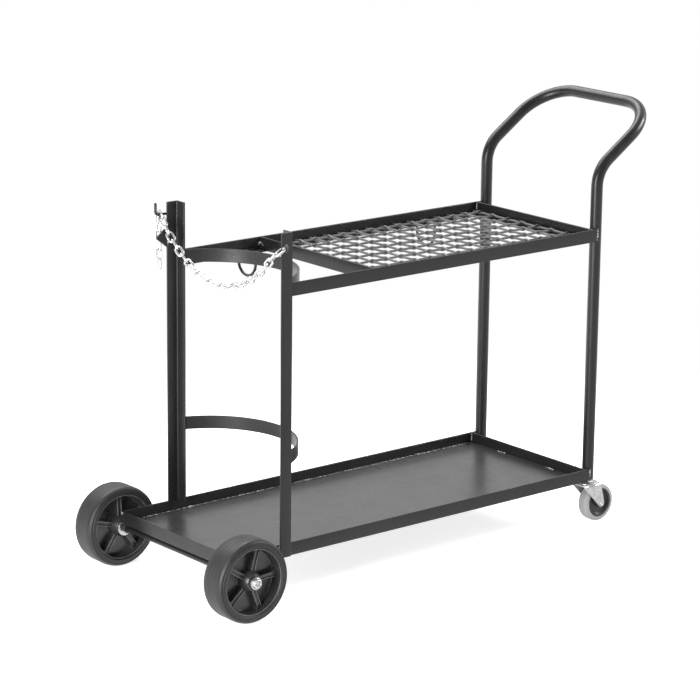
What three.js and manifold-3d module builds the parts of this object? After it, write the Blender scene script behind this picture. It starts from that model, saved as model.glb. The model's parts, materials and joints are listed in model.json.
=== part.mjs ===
// Welding cart: an angle-iron frame with a sheet tray and a crimped-wire shelf, a bent tube handle,
// two moulded wheels on a through axle, two stem casters, and a cylinder bay closed by a chain.
// Millimetres, +Z up. The wheel end is at -X, the handle end at +X, the chain hook post at +Y.
import * as THREE from "three";
import { mergeVertices } from "three/addons/utils/BufferGeometryUtils.js";
import Module from "manifold-3d";

const wasm = await Module();
wasm.setup();

// Clearances
const seatGap = 0.3;
const runningGap = 0.3;
const weldGap = 0.2;

// Angle iron of the frame
const angleLeg = 25;
const angleWall = 3;
const angleFillet = 2.5;

// Frame: lengths along X start at the outside of the tray's wheel-end rim
const trayLength = 880;
const trayWidth = 340;
const floorThickness = 2;
const shelfRise = 484.3;
const shelfStart = 324;
const postPosition = 134;
const postHeight = 602;

// Handle: one bent tube
const tubeRadius = 11.5;
const tubeWall = 2;
const tubeInset = 11.6;
const tubeEndGap = 2.7;
const handleKneeHeight = 622.6;
const handleReach = 159;
const handleSlope = THREE.MathUtils.degToRad(34);
const handleKneeRadius = 62;
const handleBendRadius = 87.5;

// Shelf mesh: crimped wires, woven over and under
const meshWireRadius = 2.3;
const meshPitchAlong = 35.3;
const meshPitchAcross = 42.5;
const meshEndGap = 1;

// Cylinder bands: flat bar rolled to an arc between the posts
const bandDepth = 108;
const bandLap = 6;
const bandHeight = 25;
const bandThickness = 3;
const lowerBandRise = 165;

// Cable hooks on the far shelf rail
const cableHookWire = 2.8;
const cableHookRadius = 27;
const cableHookDrop = 29;
const cableHookTip = 29;
const cableHookTop = 2;
const cableHookPositions = { wheel_end: 318, handle_end: 770 };

// Chain hook and tab on the far post
const chainHookWire = 2.25;
const chainHookDrop = 23;
const chainHookLap = 15;
const chainHookRun = 16;
const chainHookBend = 7;
const chainHookTip = 16;
const chainHookShift = 0.8;
const tabHeight = 42;
const tabReach = 26.5;
const tabDrop = 63.5;
const tabThickness = 4;

// Chain: links of round wire, pitch is the inner length
const linkWire = 2;
const linkInnerLength = 17;
const linkInnerWidth = 7;
const linkBite = 0.35;
const linkPlay = 1;
const linkSides = 4;
const spanLinks = 23;
const tailLinks = 6;
const chainHolePlay = 2.6;
const chainHoleEdge = 6.5;
const chainHoleDrop = 28;
const chainPostTilt = THREE.MathUtils.degToRad(30);

// Main wheels on the through axle
const wheelRadius = 77.5;
const wheelWidth = 54;
const wheelRimRadius = 62;
const wheelRimWall = 4;
const wheelWebThickness = 8;
const wheelBossRadius = 15;
const wheelRibCount = 5;
const wheelRibThickness = 5;
const wheelRibWidth = 38;
const wheelRibAngles = { near: 3, far: 20 };
const axleRadius = 5;
const axlePosition = 8;
const axleDrop = 9.5;
const axlePlateThickness = 4;
const axlePlateWidth = 36;
const axlePlateEnd = 10;
const axlePlateInset = 6;
const axleCapRadius = 9.5;
const axleCapLength = 7;
const washerRadius = 13;
const washerThickness = 4;

// Stem casters under the handle tube
const casterRadius = 37.5;
const casterTreadWidth = 25;
const casterHubRadius = 29;
const casterTrail = 24;
const casterForkWall = 2.5;
const casterForkGap = 2.5;
const casterForkWidth = 44;
const casterForkEnd = 7.5;
const casterBoltRadius = 3;
const casterBoltHead = 5;
const casterBoltHeadLength = 2;
const casterCrownGap = 2.2;
const casterRaceRadius = 20;
const casterBallRadius = 1.25;
const casterCupWall = 1.6;
const casterKingpinRadius = 5;
const casterCollarRadius = 10.5;
const casterCollarHeight = 4.5;
const casterStemLength = 40;

// Sides of the round pieces that fit one inside the other
const wheelSegments = 26;
const casterSegments = 18;
const tubeSides = 10;
const smallSides = 12;

// Heights and places worked out from the sizes above
const trayBottom = wheelRadius + axleDrop;
const rimTop = trayBottom + angleLeg;
const shelfBottom = trayBottom + shelfRise;
const postTop = trayBottom + postHeight;
const halfWidth = trayWidth / 2;
const tubeX = trayLength + tubeEndGap + tubeRadius;
const tubeY = halfWidth - tubeInset;
const handleBarX = tubeX + handleReach;
const handleKneeZ = trayBottom + handleKneeHeight;
const handleBarZ = handleKneeZ + handleReach * Math.tan(handleSlope);
const crownBottom = 2 * casterRadius + casterCrownGap;
const crownTop = crownBottom + casterForkWall;
const cupTop = crownTop + 2 * casterBallRadius + 2 * runningGap + casterCupWall;
const tubeBottom = cupTop + casterCollarHeight;
const postEdgeX = postPosition - angleLeg;
const bandEnd = halfWidth + angleWall - angleLeg + bandLap;
const bandRadius = (bandEnd ** 2 + bandDepth ** 2) / (2 * bandDepth);

const up = new THREE.Vector3(0, 0, 1);
const alongX = new THREE.Vector3(1, 0, 0);
const alongY = new THREE.Vector3(0, 1, 0);

const cart = new THREE.Group();

function coat(color, roughness, metalness) {
  return new THREE.MeshStandardMaterial({ color, roughness, metalness });
}

const finishes = {
  powderCoat: () => coat(0x3b3a3c, 0.45, 0.3),
  sheetSteel: () => coat(0x767577, 0.4, 0.5),
  meshSteel: () => coat(0x5d5c5e, 0.45, 0.4),
  zinc: () => coat(0xc9c8c6, 0.3, 0.9),
  blackRubber: () => coat(0x2c2b2d, 0.7, 0),
  blackPlastic: () => coat(0x262527, 0.5, 0),
  greyRubber: () => coat(0xa9a8a8, 0.75, 0),
};

function add(name, geometry, finish) {
  const piece = new THREE.Mesh(geometry, finishes[finish]());
  piece.name = name;
  cart.add(piece);
  return piece;
}

// Closed geometry to a solid and back, for cuts and joins
function toSolid(geometry) {
  const bare = geometry.clone();
  bare.deleteAttribute("normal");
  bare.deleteAttribute("uv");
  const merged = mergeVertices(bare, 1e-4);
  return new wasm.Manifold(new wasm.Mesh({
    numProp: 3,
    vertProperties: new Float32Array(merged.attributes.position.array),
    triVerts: new Uint32Array(merged.index.array),
  }));
}

function toGeometry(solid) {
  const data = solid.getMesh();
  const geometry = new THREE.BufferGeometry();
  geometry.setAttribute("position", new THREE.BufferAttribute(new Float32Array(data.vertProperties), 3));
  geometry.setIndex(new THREE.BufferAttribute(new Uint32Array(data.triVerts), 1));
  geometry.computeVertexNormals();
  return geometry;
}

function cutFrom(geometry, ...tools) {
  const body = tools.reduce((rest, tool) => rest.subtract(toSolid(tool)), toSolid(geometry));
  return toGeometry(body);
}

function joined(...geometries) {
  const solids = geometries.map(toSolid);
  return toGeometry(solids.reduce((whole, solid) => whole.add(solid)));
}

// A box between two corners
function boxBetween(low, high) {
  const size = new THREE.Vector3().subVectors(high, low);
  const middle = new THREE.Vector3().addVectors(low, high).multiplyScalar(0.5);
  return new THREE.BoxGeometry(size.x, size.y, size.z).translate(middle.x, middle.y, middle.z);
}

function point(x, y, z) {
  return new THREE.Vector3(x, y, z);
}

// A revolved solid about Y from a closed ring of [radius, height] corners, listed with the solid on the left
function revolved(corners, segments) {
  const outline = corners.map(([radius, height]) => new THREE.Vector2(radius, height));
  outline.push(outline[0].clone());
  return new THREE.LatheGeometry(outline, segments);
}

// A revolved wheel piece with its flat sides, not its edges, at the stated radii, and one of them underneath
function rolling(corners, segments) {
  const spread = 1 / Math.cos(Math.PI / segments);
  return revolved(corners, segments).rotateY(Math.PI / segments).scale(spread, 1, spread);
}

// Turns a solid revolved about Y so that its axis stands along Z
function standing(geometry) {
  return geometry.rotateX(Math.PI / 2);
}

// A route through listed points, one step from each point to the next
class PointRoute extends THREE.Curve {
  constructor(points, closed = false) {
    super();
    this.points = closed ? [...points, points[0]] : points;
  }

  get steps() {
    return this.points.length - 1;
  }

  getUtoTmapping(u) {
    return u;
  }

  getPoint(t, target = new THREE.Vector3()) {
    const place = THREE.MathUtils.clamp(t, 0, 1) * this.steps;
    const first = Math.min(Math.floor(place), this.steps - 1);
    return target.lerpVectors(this.points[first], this.points[first + 1], place - first);
  }
}

function roundShape(radius, sides, wall = 0) {
  const ring = (size, count) => Array.from({ length: count }, (_, side) => {
    const angle = (2 * Math.PI * (side + 0.5)) / count;
    return new THREE.Vector2(size * Math.cos(angle), size * Math.sin(angle));
  });
  const shape = new THREE.Shape(ring(radius, sides));
  if (wall > 0) shape.holes.push(new THREE.Path(ring(radius - wall, sides)));
  return shape;
}

function barAlong(points, radius, sides, wall = 0) {
  const route = new PointRoute(points);
  return new THREE.ExtrudeGeometry(roundShape(radius, sides, wall), {
    extrudePath: route,
    steps: route.steps,
  });
}

// Points of an arc from a start direction to an end direction about a centre
function arcPoints(center, fromSide, toSide, radius, angle, steps) {
  return Array.from({ length: steps + 1 }, (_, step) => {
    const turn = (angle * step) / steps;
    return center.clone()
      .addScaledVector(fromSide, radius * Math.cos(turn))
      .addScaledVector(toSide, radius * Math.sin(turn));
  });
}

// A corner of a route rounded to the bend radius
function bendPoints(before, corner, after, radius, steps) {
  const back = new THREE.Vector3().subVectors(before, corner).normalize();
  const ahead = new THREE.Vector3().subVectors(after, corner).normalize();
  const half = back.angleTo(ahead) / 2;
  const inward = new THREE.Vector3().addVectors(back, ahead).normalize();
  const center = corner.clone().addScaledVector(inward, radius / Math.sin(half));
  const start = corner.clone().addScaledVector(back, radius / Math.tan(half));
  const fromSide = new THREE.Vector3().subVectors(start, center).normalize();
  const toSide = back.clone().negate();
  return arcPoints(center, fromSide, toSide, radius, Math.PI - 2 * half, steps);
}

// Angle iron along a heel line, with its two legs towards the given directions
function angleShape() {
  const shape = new THREE.Shape();
  const inner = angleWall + angleFillet;
  shape.moveTo(0, 0);
  shape.lineTo(angleLeg, 0);
  shape.lineTo(angleLeg, angleWall);
  shape.lineTo(inner, angleWall);
  shape.absarc(inner, inner, angleFillet, -Math.PI / 2, -Math.PI, true);
  shape.lineTo(angleWall, angleLeg);
  shape.lineTo(0, angleLeg);
  return shape;
}

function angleBar(heelStart, heelEnd, firstLeg, secondLeg) {
  const run = new THREE.Vector3().subVectors(heelEnd, heelStart);
  const outward = new THREE.Vector3().crossVectors(firstLeg, secondLeg);
  const forward = run.dot(outward) > 0;
  const origin = forward ? heelStart : heelEnd;
  const bar = new THREE.ExtrudeGeometry(angleShape(), {
    depth: run.length(),
    bevelEnabled: false,
    curveSegments: 2,
  });
  const place = new THREE.Matrix4().makeBasis(firstLeg, secondLeg, outward).setPosition(origin);
  return bar.applyMatrix4(place);
}

// The handle tube's round outside, cut from what butts against it
function tubeCutter(side, bottom, height) {
  const cutter = new THREE.CylinderGeometry(tubeRadius + seatGap, tubeRadius + seatGap, height, 24);
  return cutter.rotateX(Math.PI / 2).translate(tubeX, side * tubeY, bottom + height / 2);
}

// A long side rail: its upright leg runs on to the handle tube, its flat leg stops at the end rail
function sideRail(side, startX, bottom) {
  const heelY = side * halfWidth;
  const bar = angleBar(
    point(startX, heelY, bottom),
    point(tubeX, heelY, bottom),
    point(0, -side, 0),
    up,
  );
  const margin = angleLeg;
  const inside = heelY - side * angleWall;
  const past = heelY - side * (angleLeg + margin);
  const flatLegEnd = boxBetween(
    point(trayLength, Math.min(inside, past), bottom - margin),
    point(tubeX + margin, Math.max(inside, past), bottom + angleLeg + margin),
  );
  return cutFrom(bar, flatLegEnd, tubeCutter(side, bottom - margin, angleLeg + 2 * margin));
}

// An end rail between the side rails, with its flat leg notched clear of theirs
function endRail(heelX, inwardX, bottom) {
  const reach = halfWidth - angleWall;
  const bar = angleBar(
    point(heelX, -reach, bottom),
    point(heelX, reach, bottom),
    point(inwardX, 0, 0),
    up,
  );
  const notch = (inset, top) => [-1, 1].map((side) => {
    const inner = side * (halfWidth - inset);
    const outer = side * trayWidth;
    return boxBetween(
      point(heelX - 2 * angleLeg, Math.min(inner, outer), bottom - angleLeg),
      point(heelX + 2 * angleLeg, Math.max(inner, outer), top),
    );
  });
  const legNotches = notch(angleLeg, bottom + angleWall);
  const filletReach = angleWall + angleFillet + seatGap;
  const filletNotches = notch(filletReach, bottom + filletReach);
  return cutFrom(bar, ...legNotches, ...filletNotches);
}

function addTray() {
  add("tray_rim_near", sideRail(-1, 0, trayBottom), "powderCoat");
  add("tray_rim_far", sideRail(1, 0, trayBottom), "powderCoat");
  add("tray_rim_wheel_end", endRail(0, 1, trayBottom), "powderCoat");
  add("tray_rim_handle_end", endRail(trayLength, -1, trayBottom), "powderCoat");
  const margin = angleWall + angleFillet + seatGap;
  const floorBottom = trayBottom + angleWall;
  add("tray_floor", boxBetween(
    point(margin, -halfWidth + margin, floorBottom),
    point(trayLength - margin, halfWidth - margin, floorBottom + floorThickness),
  ), "sheetSteel");
}

// Posts: the outer leg laps over the tray rim, the cross leg stands on the rim's top edge
function post(side) {
  const heelY = side * (halfWidth + angleWall);
  const bar = angleBar(
    point(postPosition, heelY, trayBottom),
    point(postPosition, heelY, postTop),
    point(-1, 0, 0),
    point(0, -side, 0),
  );
  const face = side * halfWidth;
  const past = side * (halfWidth - 2 * angleLeg);
  const cope = boxBetween(
    point(postEdgeX - angleLeg, Math.min(face, past), trayBottom - angleLeg),
    point(postPosition + angleLeg, Math.max(face, past), rimTop),
  );
  return cutFrom(bar, cope);
}

const chainHole = point(
  postEdgeX + chainHoleEdge,
  -halfWidth - angleWall / 2,
  postTop - chainHoleDrop,
);

function addPosts() {
  const holeTool = new THREE.CylinderGeometry(
    linkWire + chainHolePlay,
    linkWire + chainHolePlay,
    4 * angleWall,
    12,
  ).translate(chainHole.x, chainHole.y, chainHole.z);
  add("post_near", cutFrom(post(-1), holeTool), "powderCoat");
  add("post_far", post(1), "powderCoat");
}

function addShelfRails() {
  add("shelf_rail_near", sideRail(-1, postPosition, shelfBottom), "powderCoat");
  add("shelf_rail_far", sideRail(1, postPosition, shelfBottom), "powderCoat");
  add("shelf_rail_wheel_end", endRail(shelfStart, 1, shelfBottom), "powderCoat");
  add("shelf_rail_handle_end", endRail(trayLength, -1, shelfBottom), "powderCoat");
}

// Even places centred in a length
function evenPlaces(low, high, pitch) {
  const count = Math.max(2, Math.floor((high - low) / pitch) + 1);
  const first = (low + high - (count - 1) * pitch) / 2;
  return Array.from({ length: count }, (_, index) => first + index * pitch);
}

function addShelfMesh() {
  const sides = 4;
  const crimp = meshWireRadius * Math.cos(Math.PI / sides) - seatGap / 2;
  const middleZ = shelfBottom + angleWall + crimp + meshWireRadius + seatGap / 3;
  const clear = angleWall + meshEndGap;
  const lowX = shelfStart + clear;
  const highX = trayLength - clear;
  const edgeY = halfWidth - clear;
  const rowInset = meshWireRadius + angleFillet;
  const xs = evenPlaces(lowX + rowInset, highX - rowInset, meshPitchAlong);
  const ys = evenPlaces(-edgeY + rowInset, edgeY - rowInset, meshPitchAcross);
  const height = (column, row) => middleZ + ((column + row) % 2 === 0 ? crimp : -crimp);
  const wires = [];
  ys.forEach((y, row) => {
    const inner = xs.map((x, column) => point(x, y, height(column, row)));
    wires.push([point(lowX, y, middleZ), ...inner, point(highX, y, middleZ)]);
  });
  xs.forEach((x, column) => {
    const inner = ys.map((y, row) => point(x, y, height(column, row + 1)));
    wires.push([point(x, -edgeY, middleZ), ...inner, point(x, edgeY, middleZ)]);
  });
  const woven = wires.map((points) => barAlong(points, meshWireRadius, sides));
  add("shelf_mesh", joined(...woven), "meshSteel");
}

// The handle: up one leg, sloped out, across and back down, bent from one tube
function addHandle() {
  const corners = [
    point(tubeX, -tubeY, tubeBottom),
    point(tubeX, -tubeY, handleKneeZ),
    point(handleBarX, -tubeY, handleBarZ),
    point(handleBarX, tubeY, handleBarZ),
    point(tubeX, tubeY, handleKneeZ),
    point(tubeX, tubeY, tubeBottom),
  ];
  const radii = [handleKneeRadius, handleBendRadius, handleBendRadius, handleKneeRadius];
  const route = [corners[0]];
  radii.forEach((radius, bend) => {
    route.push(...bendPoints(corners[bend], corners[bend + 1], corners[bend + 2], radius, 5));
  });
  route.push(corners[corners.length - 1]);
  add("handle_tube", barAlong(route, tubeRadius, tubeSides, tubeWall), "powderCoat");
}

// A cylinder band: its arc ends flat against the posts' cross legs
function bandGeometry(bottom) {
  const centerX = postPosition + bandDepth - bandRadius;
  const chord = postPosition - centerX;
  const innerRadius = bandRadius - bandThickness;
  const outerEnd = Math.acos(chord / bandRadius);
  const innerEnd = Math.acos(chord / innerRadius);
  const shape = new THREE.Shape();
  shape.absarc(0, 0, bandRadius, -outerEnd, outerEnd, false);
  shape.absarc(0, 0, innerRadius, innerEnd, -innerEnd, true);
  const band = new THREE.ExtrudeGeometry(shape, {
    depth: bandHeight,
    bevelEnabled: false,
    curveSegments: 16,
  });
  return band.translate(centerX, 0, bottom);
}

function addBands() {
  add("cylinder_band_upper", bandGeometry(shelfBottom + angleWall), "powderCoat");
  add("cylinder_band_lower", bandGeometry(trayBottom + lowerBandRise), "powderCoat");
}

// Cable hooks: round bar welded to the far rail's outside, hanging in a half ring
function cableHook(x) {
  const rootY = halfWidth + cableHookWire + weldGap;
  const bendZ = shelfBottom - cableHookDrop;
  const middle = point(x, rootY + cableHookRadius, bendZ);
  const points = [
    point(x, rootY, shelfBottom + angleLeg - cableHookTop),
    ...arcPoints(middle, point(0, -1, 0), point(0, 0, -1), cableHookRadius, Math.PI, 8),
    point(x, rootY + 2 * cableHookRadius, bendZ + cableHookTip),
  ];
  return barAlong(points, cableHookWire, 6);
}

function addCableHooks() {
  Object.entries(cableHookPositions).forEach(([name, x]) => {
    add(`cable_hook_${name}`, cableHook(x), "powderCoat");
  });
}

// Chain hook: lapped on the outside of the far post's leg, out to -X and up
const chainHookY = halfWidth + angleWall + chainHookWire + weldGap;
const chainHookZ = postTop - chainHookDrop;

function addChainHook() {
  const bendX = postEdgeX - chainHookRun;
  const middle = point(bendX, chainHookY, chainHookZ + chainHookBend);
  const points = [
    point(postEdgeX + chainHookLap, chainHookY, chainHookZ),
    ...arcPoints(middle, point(0, 0, -1), point(-1, 0, 0), chainHookBend, Math.PI / 2, 4),
    point(bendX - chainHookBend, chainHookY, chainHookZ + chainHookBend + chainHookTip),
  ];
  add("chain_hook", barAlong(points, chainHookWire, 6), "powderCoat");
}

// Triangular tab on the edge of the same leg
function addTab() {
  const top = postTop - chainHookDrop - tabDrop + tabHeight;
  const shape = new THREE.Shape();
  shape.moveTo(0, 0);
  shape.lineTo(0, tabHeight);
  shape.lineTo(-tabReach, tabHeight / 2);
  const plate = new THREE.ExtrudeGeometry(shape, { depth: tabThickness, bevelEnabled: false });
  plate.rotateX(Math.PI / 2);
  plate.translate(postEdgeX, halfWidth + angleWall / 2, top - tabHeight);
  add("post_tab", plate, "powderCoat");
}

// One chain link about the origin: long axis on X, loop in the XY plane
const linkHalfWidth = linkInnerWidth / 2 + linkWire;
const linkHalfLength = linkInnerLength / 2 + linkWire;
const linkContact = linkWire;
const linkPitch = 2 * (linkHalfLength - linkContact) + linkBite;

function linkGeometry() {
  const straight = linkHalfLength - linkHalfWidth;
  const across = alongY;
  const rightEnd = arcPoints(point(straight, 0, 0), point(0, -1, 0), alongX, linkHalfWidth, Math.PI, 4);
  const leftEnd = arcPoints(point(-straight, 0, 0), across, point(-1, 0, 0), linkHalfWidth, Math.PI, 4);
  const loop = new PointRoute([point(0, -linkHalfWidth, 0), ...rightEnd, ...leftEnd], true);
  return new THREE.TubeGeometry(loop, loop.steps, linkWire, linkSides, true);
}

// A link placed by its centre, its long direction and the direction across its loop
function placedLink(center, long, across) {
  const side = across.clone().addScaledVector(long, -across.dot(long)).normalize();
  const normal = new THREE.Vector3().crossVectors(long, side);
  const place = new THREE.Matrix4().makeBasis(long, side, normal).setPosition(center);
  return linkGeometry().applyMatrix4(place);
}

// A hanging curve of set length between two points, by arc length from the first
class HangingCurve {
  constructor(start, end, length) {
    this.start = start;
    this.level = point(end.x - start.x, end.y - start.y, 0);
    const span = this.level.length();
    const rise = end.z - start.z;
    this.level.normalize();
    const target = Math.sqrt(length * length - rise * rise);
    let low = span / 50;
    let high = span * 50;
    for (let round = 0; round < 80; round += 1) {
      const guess = Math.sqrt(low * high);
      const reach = 2 * guess * Math.sinh(span / (2 * guess));
      if (reach > target) low = guess;
      else high = guess;
    }
    this.scale = Math.sqrt(low * high);
    this.lowest = (span - this.scale * Math.log((length + rise) / (length - rise))) / 2;
  }

  offset(distance) {
    const begin = Math.sinh(-this.lowest / this.scale);
    return this.lowest + this.scale * Math.asinh(distance / this.scale + begin);
  }

  place(distance) {
    const run = this.offset(distance);
    const height = this.scale * Math.cosh((run - this.lowest) / this.scale);
    const base = this.scale * Math.cosh(-this.lowest / this.scale);
    return this.start.clone().addScaledVector(this.level, run).addScaledVector(up, height - base);
  }

  direction(distance) {
    const slope = Math.sinh((this.offset(distance) - this.lowest) / this.scale);
    return this.level.clone().addScaledVector(up, slope).normalize();
  }
}

// The chain: one link through the post's hole, a hanging span, one link on the hook and a loose tail
function solveChain() {
  const postLong = point(-Math.cos(chainPostTilt), 0, -Math.sin(chainPostTilt));
  const postPivot = chainHole.clone().addScaledVector(postLong, chainHolePlay / 3);
  const postEnd = postPivot.clone().addScaledVector(postLong, 2 * linkHalfLength);
  const hookX = postEnd.x;
  const hookBar = point(hookX, chainHookY, chainHookZ);
  const length = spanLinks * linkPitch;
  const wireStep = linkHalfLength - linkPitch / 2;
  const stack = 2 * linkContact - linkBite;
  const barRest = linkHalfWidth - linkContact - chainHookWire - seatGap;
  let startDirection = point(0, Math.SQRT1_2, -Math.SQRT1_2);
  let endDirection = point(0, Math.SQRT1_2, Math.SQRT1_2);
  let curve;
  let hookCenter;
  let hookEnd;
  for (let round = 0; round < 12; round += 1) {
    const hookAcross = new THREE.Vector3().crossVectors(alongX, endDirection).normalize();
    hookCenter = hookBar.clone()
      .addScaledVector(hookAcross, -barRest)
      .addScaledVector(endDirection, chainHookShift);
    hookEnd = hookCenter.clone()
      .addScaledVector(endDirection, -(linkHalfLength - 2 * linkContact - linkPlay));
    const first = postEnd.clone().addScaledVector(up, stack).addScaledVector(startDirection, wireStep);
    const last = hookEnd.clone().addScaledVector(endDirection, -wireStep);
    curve = new HangingCurve(first, last, length);
    startDirection = curve.direction(0);
    endDirection = curve.direction(length);
  }
  const hookAcross = new THREE.Vector3().crossVectors(alongX, endDirection).normalize();
  return { postLong, postPivot, curve, hookCenter, hookEnd, hookLong: endDirection, hookAcross };
}

const chain = solveChain();

function addChainSpan() {
  const center = chain.postPivot.clone().addScaledVector(chain.postLong, linkHalfLength);
  const links = [placedLink(center, chain.postLong, alongY)];
  for (let index = 0; index < spanLinks; index += 1) {
    const distance = (index + 0.5) * linkPitch;
    const long = chain.curve.direction(distance);
    const level = new THREE.Vector3().crossVectors(chain.curve.level, up);
    const across = index % 2 === 0 ? level : new THREE.Vector3().crossVectors(level, long);
    links.push(placedLink(chain.curve.place(distance), long, across));
  }
  add("chain_span", joined(...links), "zinc");
}

function addHookLink() {
  add("chain_hook_link", placedLink(chain.hookCenter, chain.hookLong, chain.hookAcross), "zinc");
}

// The tail hangs in the hook link's upper end, on the far side of the hook
const tailInset = linkHalfWidth - 2 * linkContact - linkPlay;
const tailPivot = chain.hookCenter.clone()
  .addScaledVector(chain.hookLong, linkHalfLength - linkHalfWidth + tailInset * 0.8)
  .addScaledVector(chain.hookAcross, -tailInset * 0.5);

function addChainTail() {
  const links = Array.from({ length: tailLinks }, (_, index) => {
    const center = tailPivot.clone().addScaledVector(up, -linkHalfLength - index * linkPitch);
    return placedLink(center, point(0, 0, -1), index % 2 === 0 ? alongX : alongY);
  });
  add("chain_tail", joined(...links), "zinc");
}

// Axle in two plates under the tray, with a washer each side of each wheel and a pressed cap on each end
const hubInside = halfWidth + washerThickness + 2 * runningGap;
const hubOutside = hubInside + wheelWidth;
const axleEnd = hubOutside + washerThickness + 2 * runningGap;

function onAxle(geometry, y) {
  return geometry.translate(axlePosition, y, wheelRadius);
}

function washerGeometry() {
  const bore = axleRadius + runningGap / 2;
  const half = washerThickness / 2;
  return revolved([[bore, -half], [washerRadius, -half], [washerRadius, half], [bore, half]], smallSides);
}

function capGeometry(side) {
  const bore = axleRadius + runningGap / 2;
  const depth = axleCapLength - axleCapRadius / 3;
  const corners = [
    [0, axleCapLength - 2 * seatGap],
    [bore, axleCapLength - 2 * seatGap],
    [bore, 0],
    [axleCapRadius, 0],
    [axleCapRadius, depth],
    [axleCapRadius * 0.7, axleCapLength + seatGap],
    [0, axleCapLength + 2 * seatGap],
  ];
  const outline = corners.map(([radius, height]) => new THREE.Vector2(radius, height));
  const cap = new THREE.LatheGeometry(outline, smallSides);
  return side > 0 ? cap : cap.rotateX(Math.PI);
}

// A plate under the side rim, rounded about the axle and flush with the tray's end
function axlePlate(side) {
  const top = axleDrop - weldGap;
  const reach = axlePlateWidth - axlePosition;
  const touch = Math.atan2(top, reach) - Math.acos(axlePlateEnd / Math.hypot(top, reach));
  const shape = new THREE.Shape();
  shape.moveTo(reach, top);
  shape.lineTo(-axlePosition, top);
  shape.absarc(0, 0, axlePlateEnd, Math.acos(-axlePosition / axlePlateEnd), 2 * Math.PI + touch, false);
  const bore = new THREE.Path();
  bore.absarc(0, 0, axleRadius + 2 * weldGap, 0, 2 * Math.PI, true);
  shape.holes.push(bore);
  const plate = new THREE.ExtrudeGeometry(shape, {
    depth: axlePlateThickness,
    bevelEnabled: false,
    curveSegments: 6,
  });
  const outside = halfWidth - axlePlateInset;
  const face = side > 0 ? outside : axlePlateThickness - outside;
  return onAxle(plate.rotateX(Math.PI / 2), face);
}

function addAxle() {
  const half = axleEnd + axleCapLength - 3 * seatGap;
  const corners = [[0, -half], [axleRadius, -half], [axleRadius, half], [0, half]];
  const outline = corners.map(([radius, height]) => new THREE.Vector2(radius, height));
  add("axle", onAxle(new THREE.LatheGeometry(outline, smallSides), 0), "powderCoat");
  [["near", -1], ["far", 1]].forEach(([name, side]) => {
    add(`axle_plate_${name}`, axlePlate(side), "powderCoat");
    const inner = halfWidth + runningGap / 2 + washerThickness / 2;
    const outer = hubOutside + runningGap + washerThickness / 2;
    add(`axle_washer_inner_${name}`, onAxle(washerGeometry(), side * inner), "zinc");
    add(`axle_washer_outer_${name}`, onAxle(washerGeometry(), side * outer), "zinc");
    add(`axle_cap_${name}`, onAxle(capGeometry(side), side * axleEnd), "zinc");
  });
}

// Moulded wheel: deep dished hub with a web and ribs, and a round-shouldered tyre
function tyreGeometry() {
  const seat = wheelRimRadius + runningGap / 2;
  const half = wheelWidth / 2;
  const depth = wheelRadius - seat;
  const corners = [
    [seat, -half + depth * 0.15],
    [seat + depth * 0.3, -half],
    [seat + depth * 0.65, -half + depth * 0.08],
    [wheelRadius - depth * 0.1, -half + depth * 0.4],
    [wheelRadius, -half + depth],
    [wheelRadius, half - depth],
    [wheelRadius - depth * 0.1, half - depth * 0.4],
    [seat + depth * 0.65, half - depth * 0.08],
    [seat + depth * 0.3, half],
    [seat, half - depth * 0.15],
  ];
  return rolling(corners, wheelSegments);
}

function hubGeometry(ribAngle) {
  const bore = axleRadius + runningGap;
  const rimHalf = wheelWidth / 2 - 3;
  const bossHalf = wheelWidth / 2;
  const web = wheelWebThickness / 2;
  const rimInside = wheelRimRadius - wheelRimWall;
  const half = [
    [wheelRimRadius, rimHalf],
    [rimInside, rimHalf],
    [rimInside - wheelRimWall / 2, web],
    [wheelBossRadius + wheelRimWall / 2, web],
    [wheelBossRadius, bossHalf],
    [bore, bossHalf],
  ];
  const mirrored = half.map(([radius, height]) => [radius, -height]).reverse();
  const body = rolling([...half, ...mirrored], wheelSegments);
  const ribs = Array.from({ length: wheelRibCount }, (_, index) => {
    const inner = (bore + wheelBossRadius) / 2;
    const outer = wheelRimRadius - wheelRimWall / 2;
    const rib = boxBetween(
      point(inner, -wheelRibWidth / 2, -wheelRibThickness / 2),
      point(outer, wheelRibWidth / 2, wheelRibThickness / 2),
    );
    return rib.rotateY(-THREE.MathUtils.degToRad(ribAngle + (360 * index) / wheelRibCount));
  });
  return joined(body, ...ribs);
}

function addWheels() {
  [["near", -1], ["far", 1]].forEach(([name, side]) => {
    const middle = side * (hubInside + wheelWidth / 2);
    add(`wheel_hub_${name}`, onAxle(hubGeometry(wheelRibAngles[name]), middle), "blackPlastic");
    add(`wheel_tyre_${name}`, onAxle(tyreGeometry(), middle), "blackRubber");
  });
}

// Stem caster, built about its swivel axis at ground level
function casterStem() {
  const pin = casterKingpinRadius;
  const stem = tubeRadius - tubeWall - 2 * runningGap;
  const headTop = crownBottom - runningGap;
  const outline = [
    [0, headTop - casterForkWall],
    [pin * 1.6, headTop - casterForkWall],
    [pin * 1.6, headTop],
    [pin, headTop],
    [pin, cupTop],
    [casterCollarRadius, cupTop],
    [casterCollarRadius, tubeBottom - runningGap / 2],
    [stem, tubeBottom - runningGap / 2],
    [stem, tubeBottom + casterStemLength],
    [0, tubeBottom + casterStemLength],
  ].map(([radius, height]) => new THREE.Vector2(radius, height));
  return standing(new THREE.LatheGeometry(outline, smallSides));
}

function casterCup() {
  const bore = casterKingpinRadius + runningGap / 2;
  const lip = crownTop + casterBallRadius;
  const under = cupTop - casterCupWall;
  return standing(revolved([
    [bore, under],
    [casterRaceRadius - casterCupWall, under],
    [casterRaceRadius - casterCupWall / 2, lip],
    [casterRaceRadius + casterCupWall / 2, lip],
    [casterRaceRadius, cupTop - runningGap / 2],
    [bore, cupTop - runningGap / 2],
  ], smallSides));
}

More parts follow.
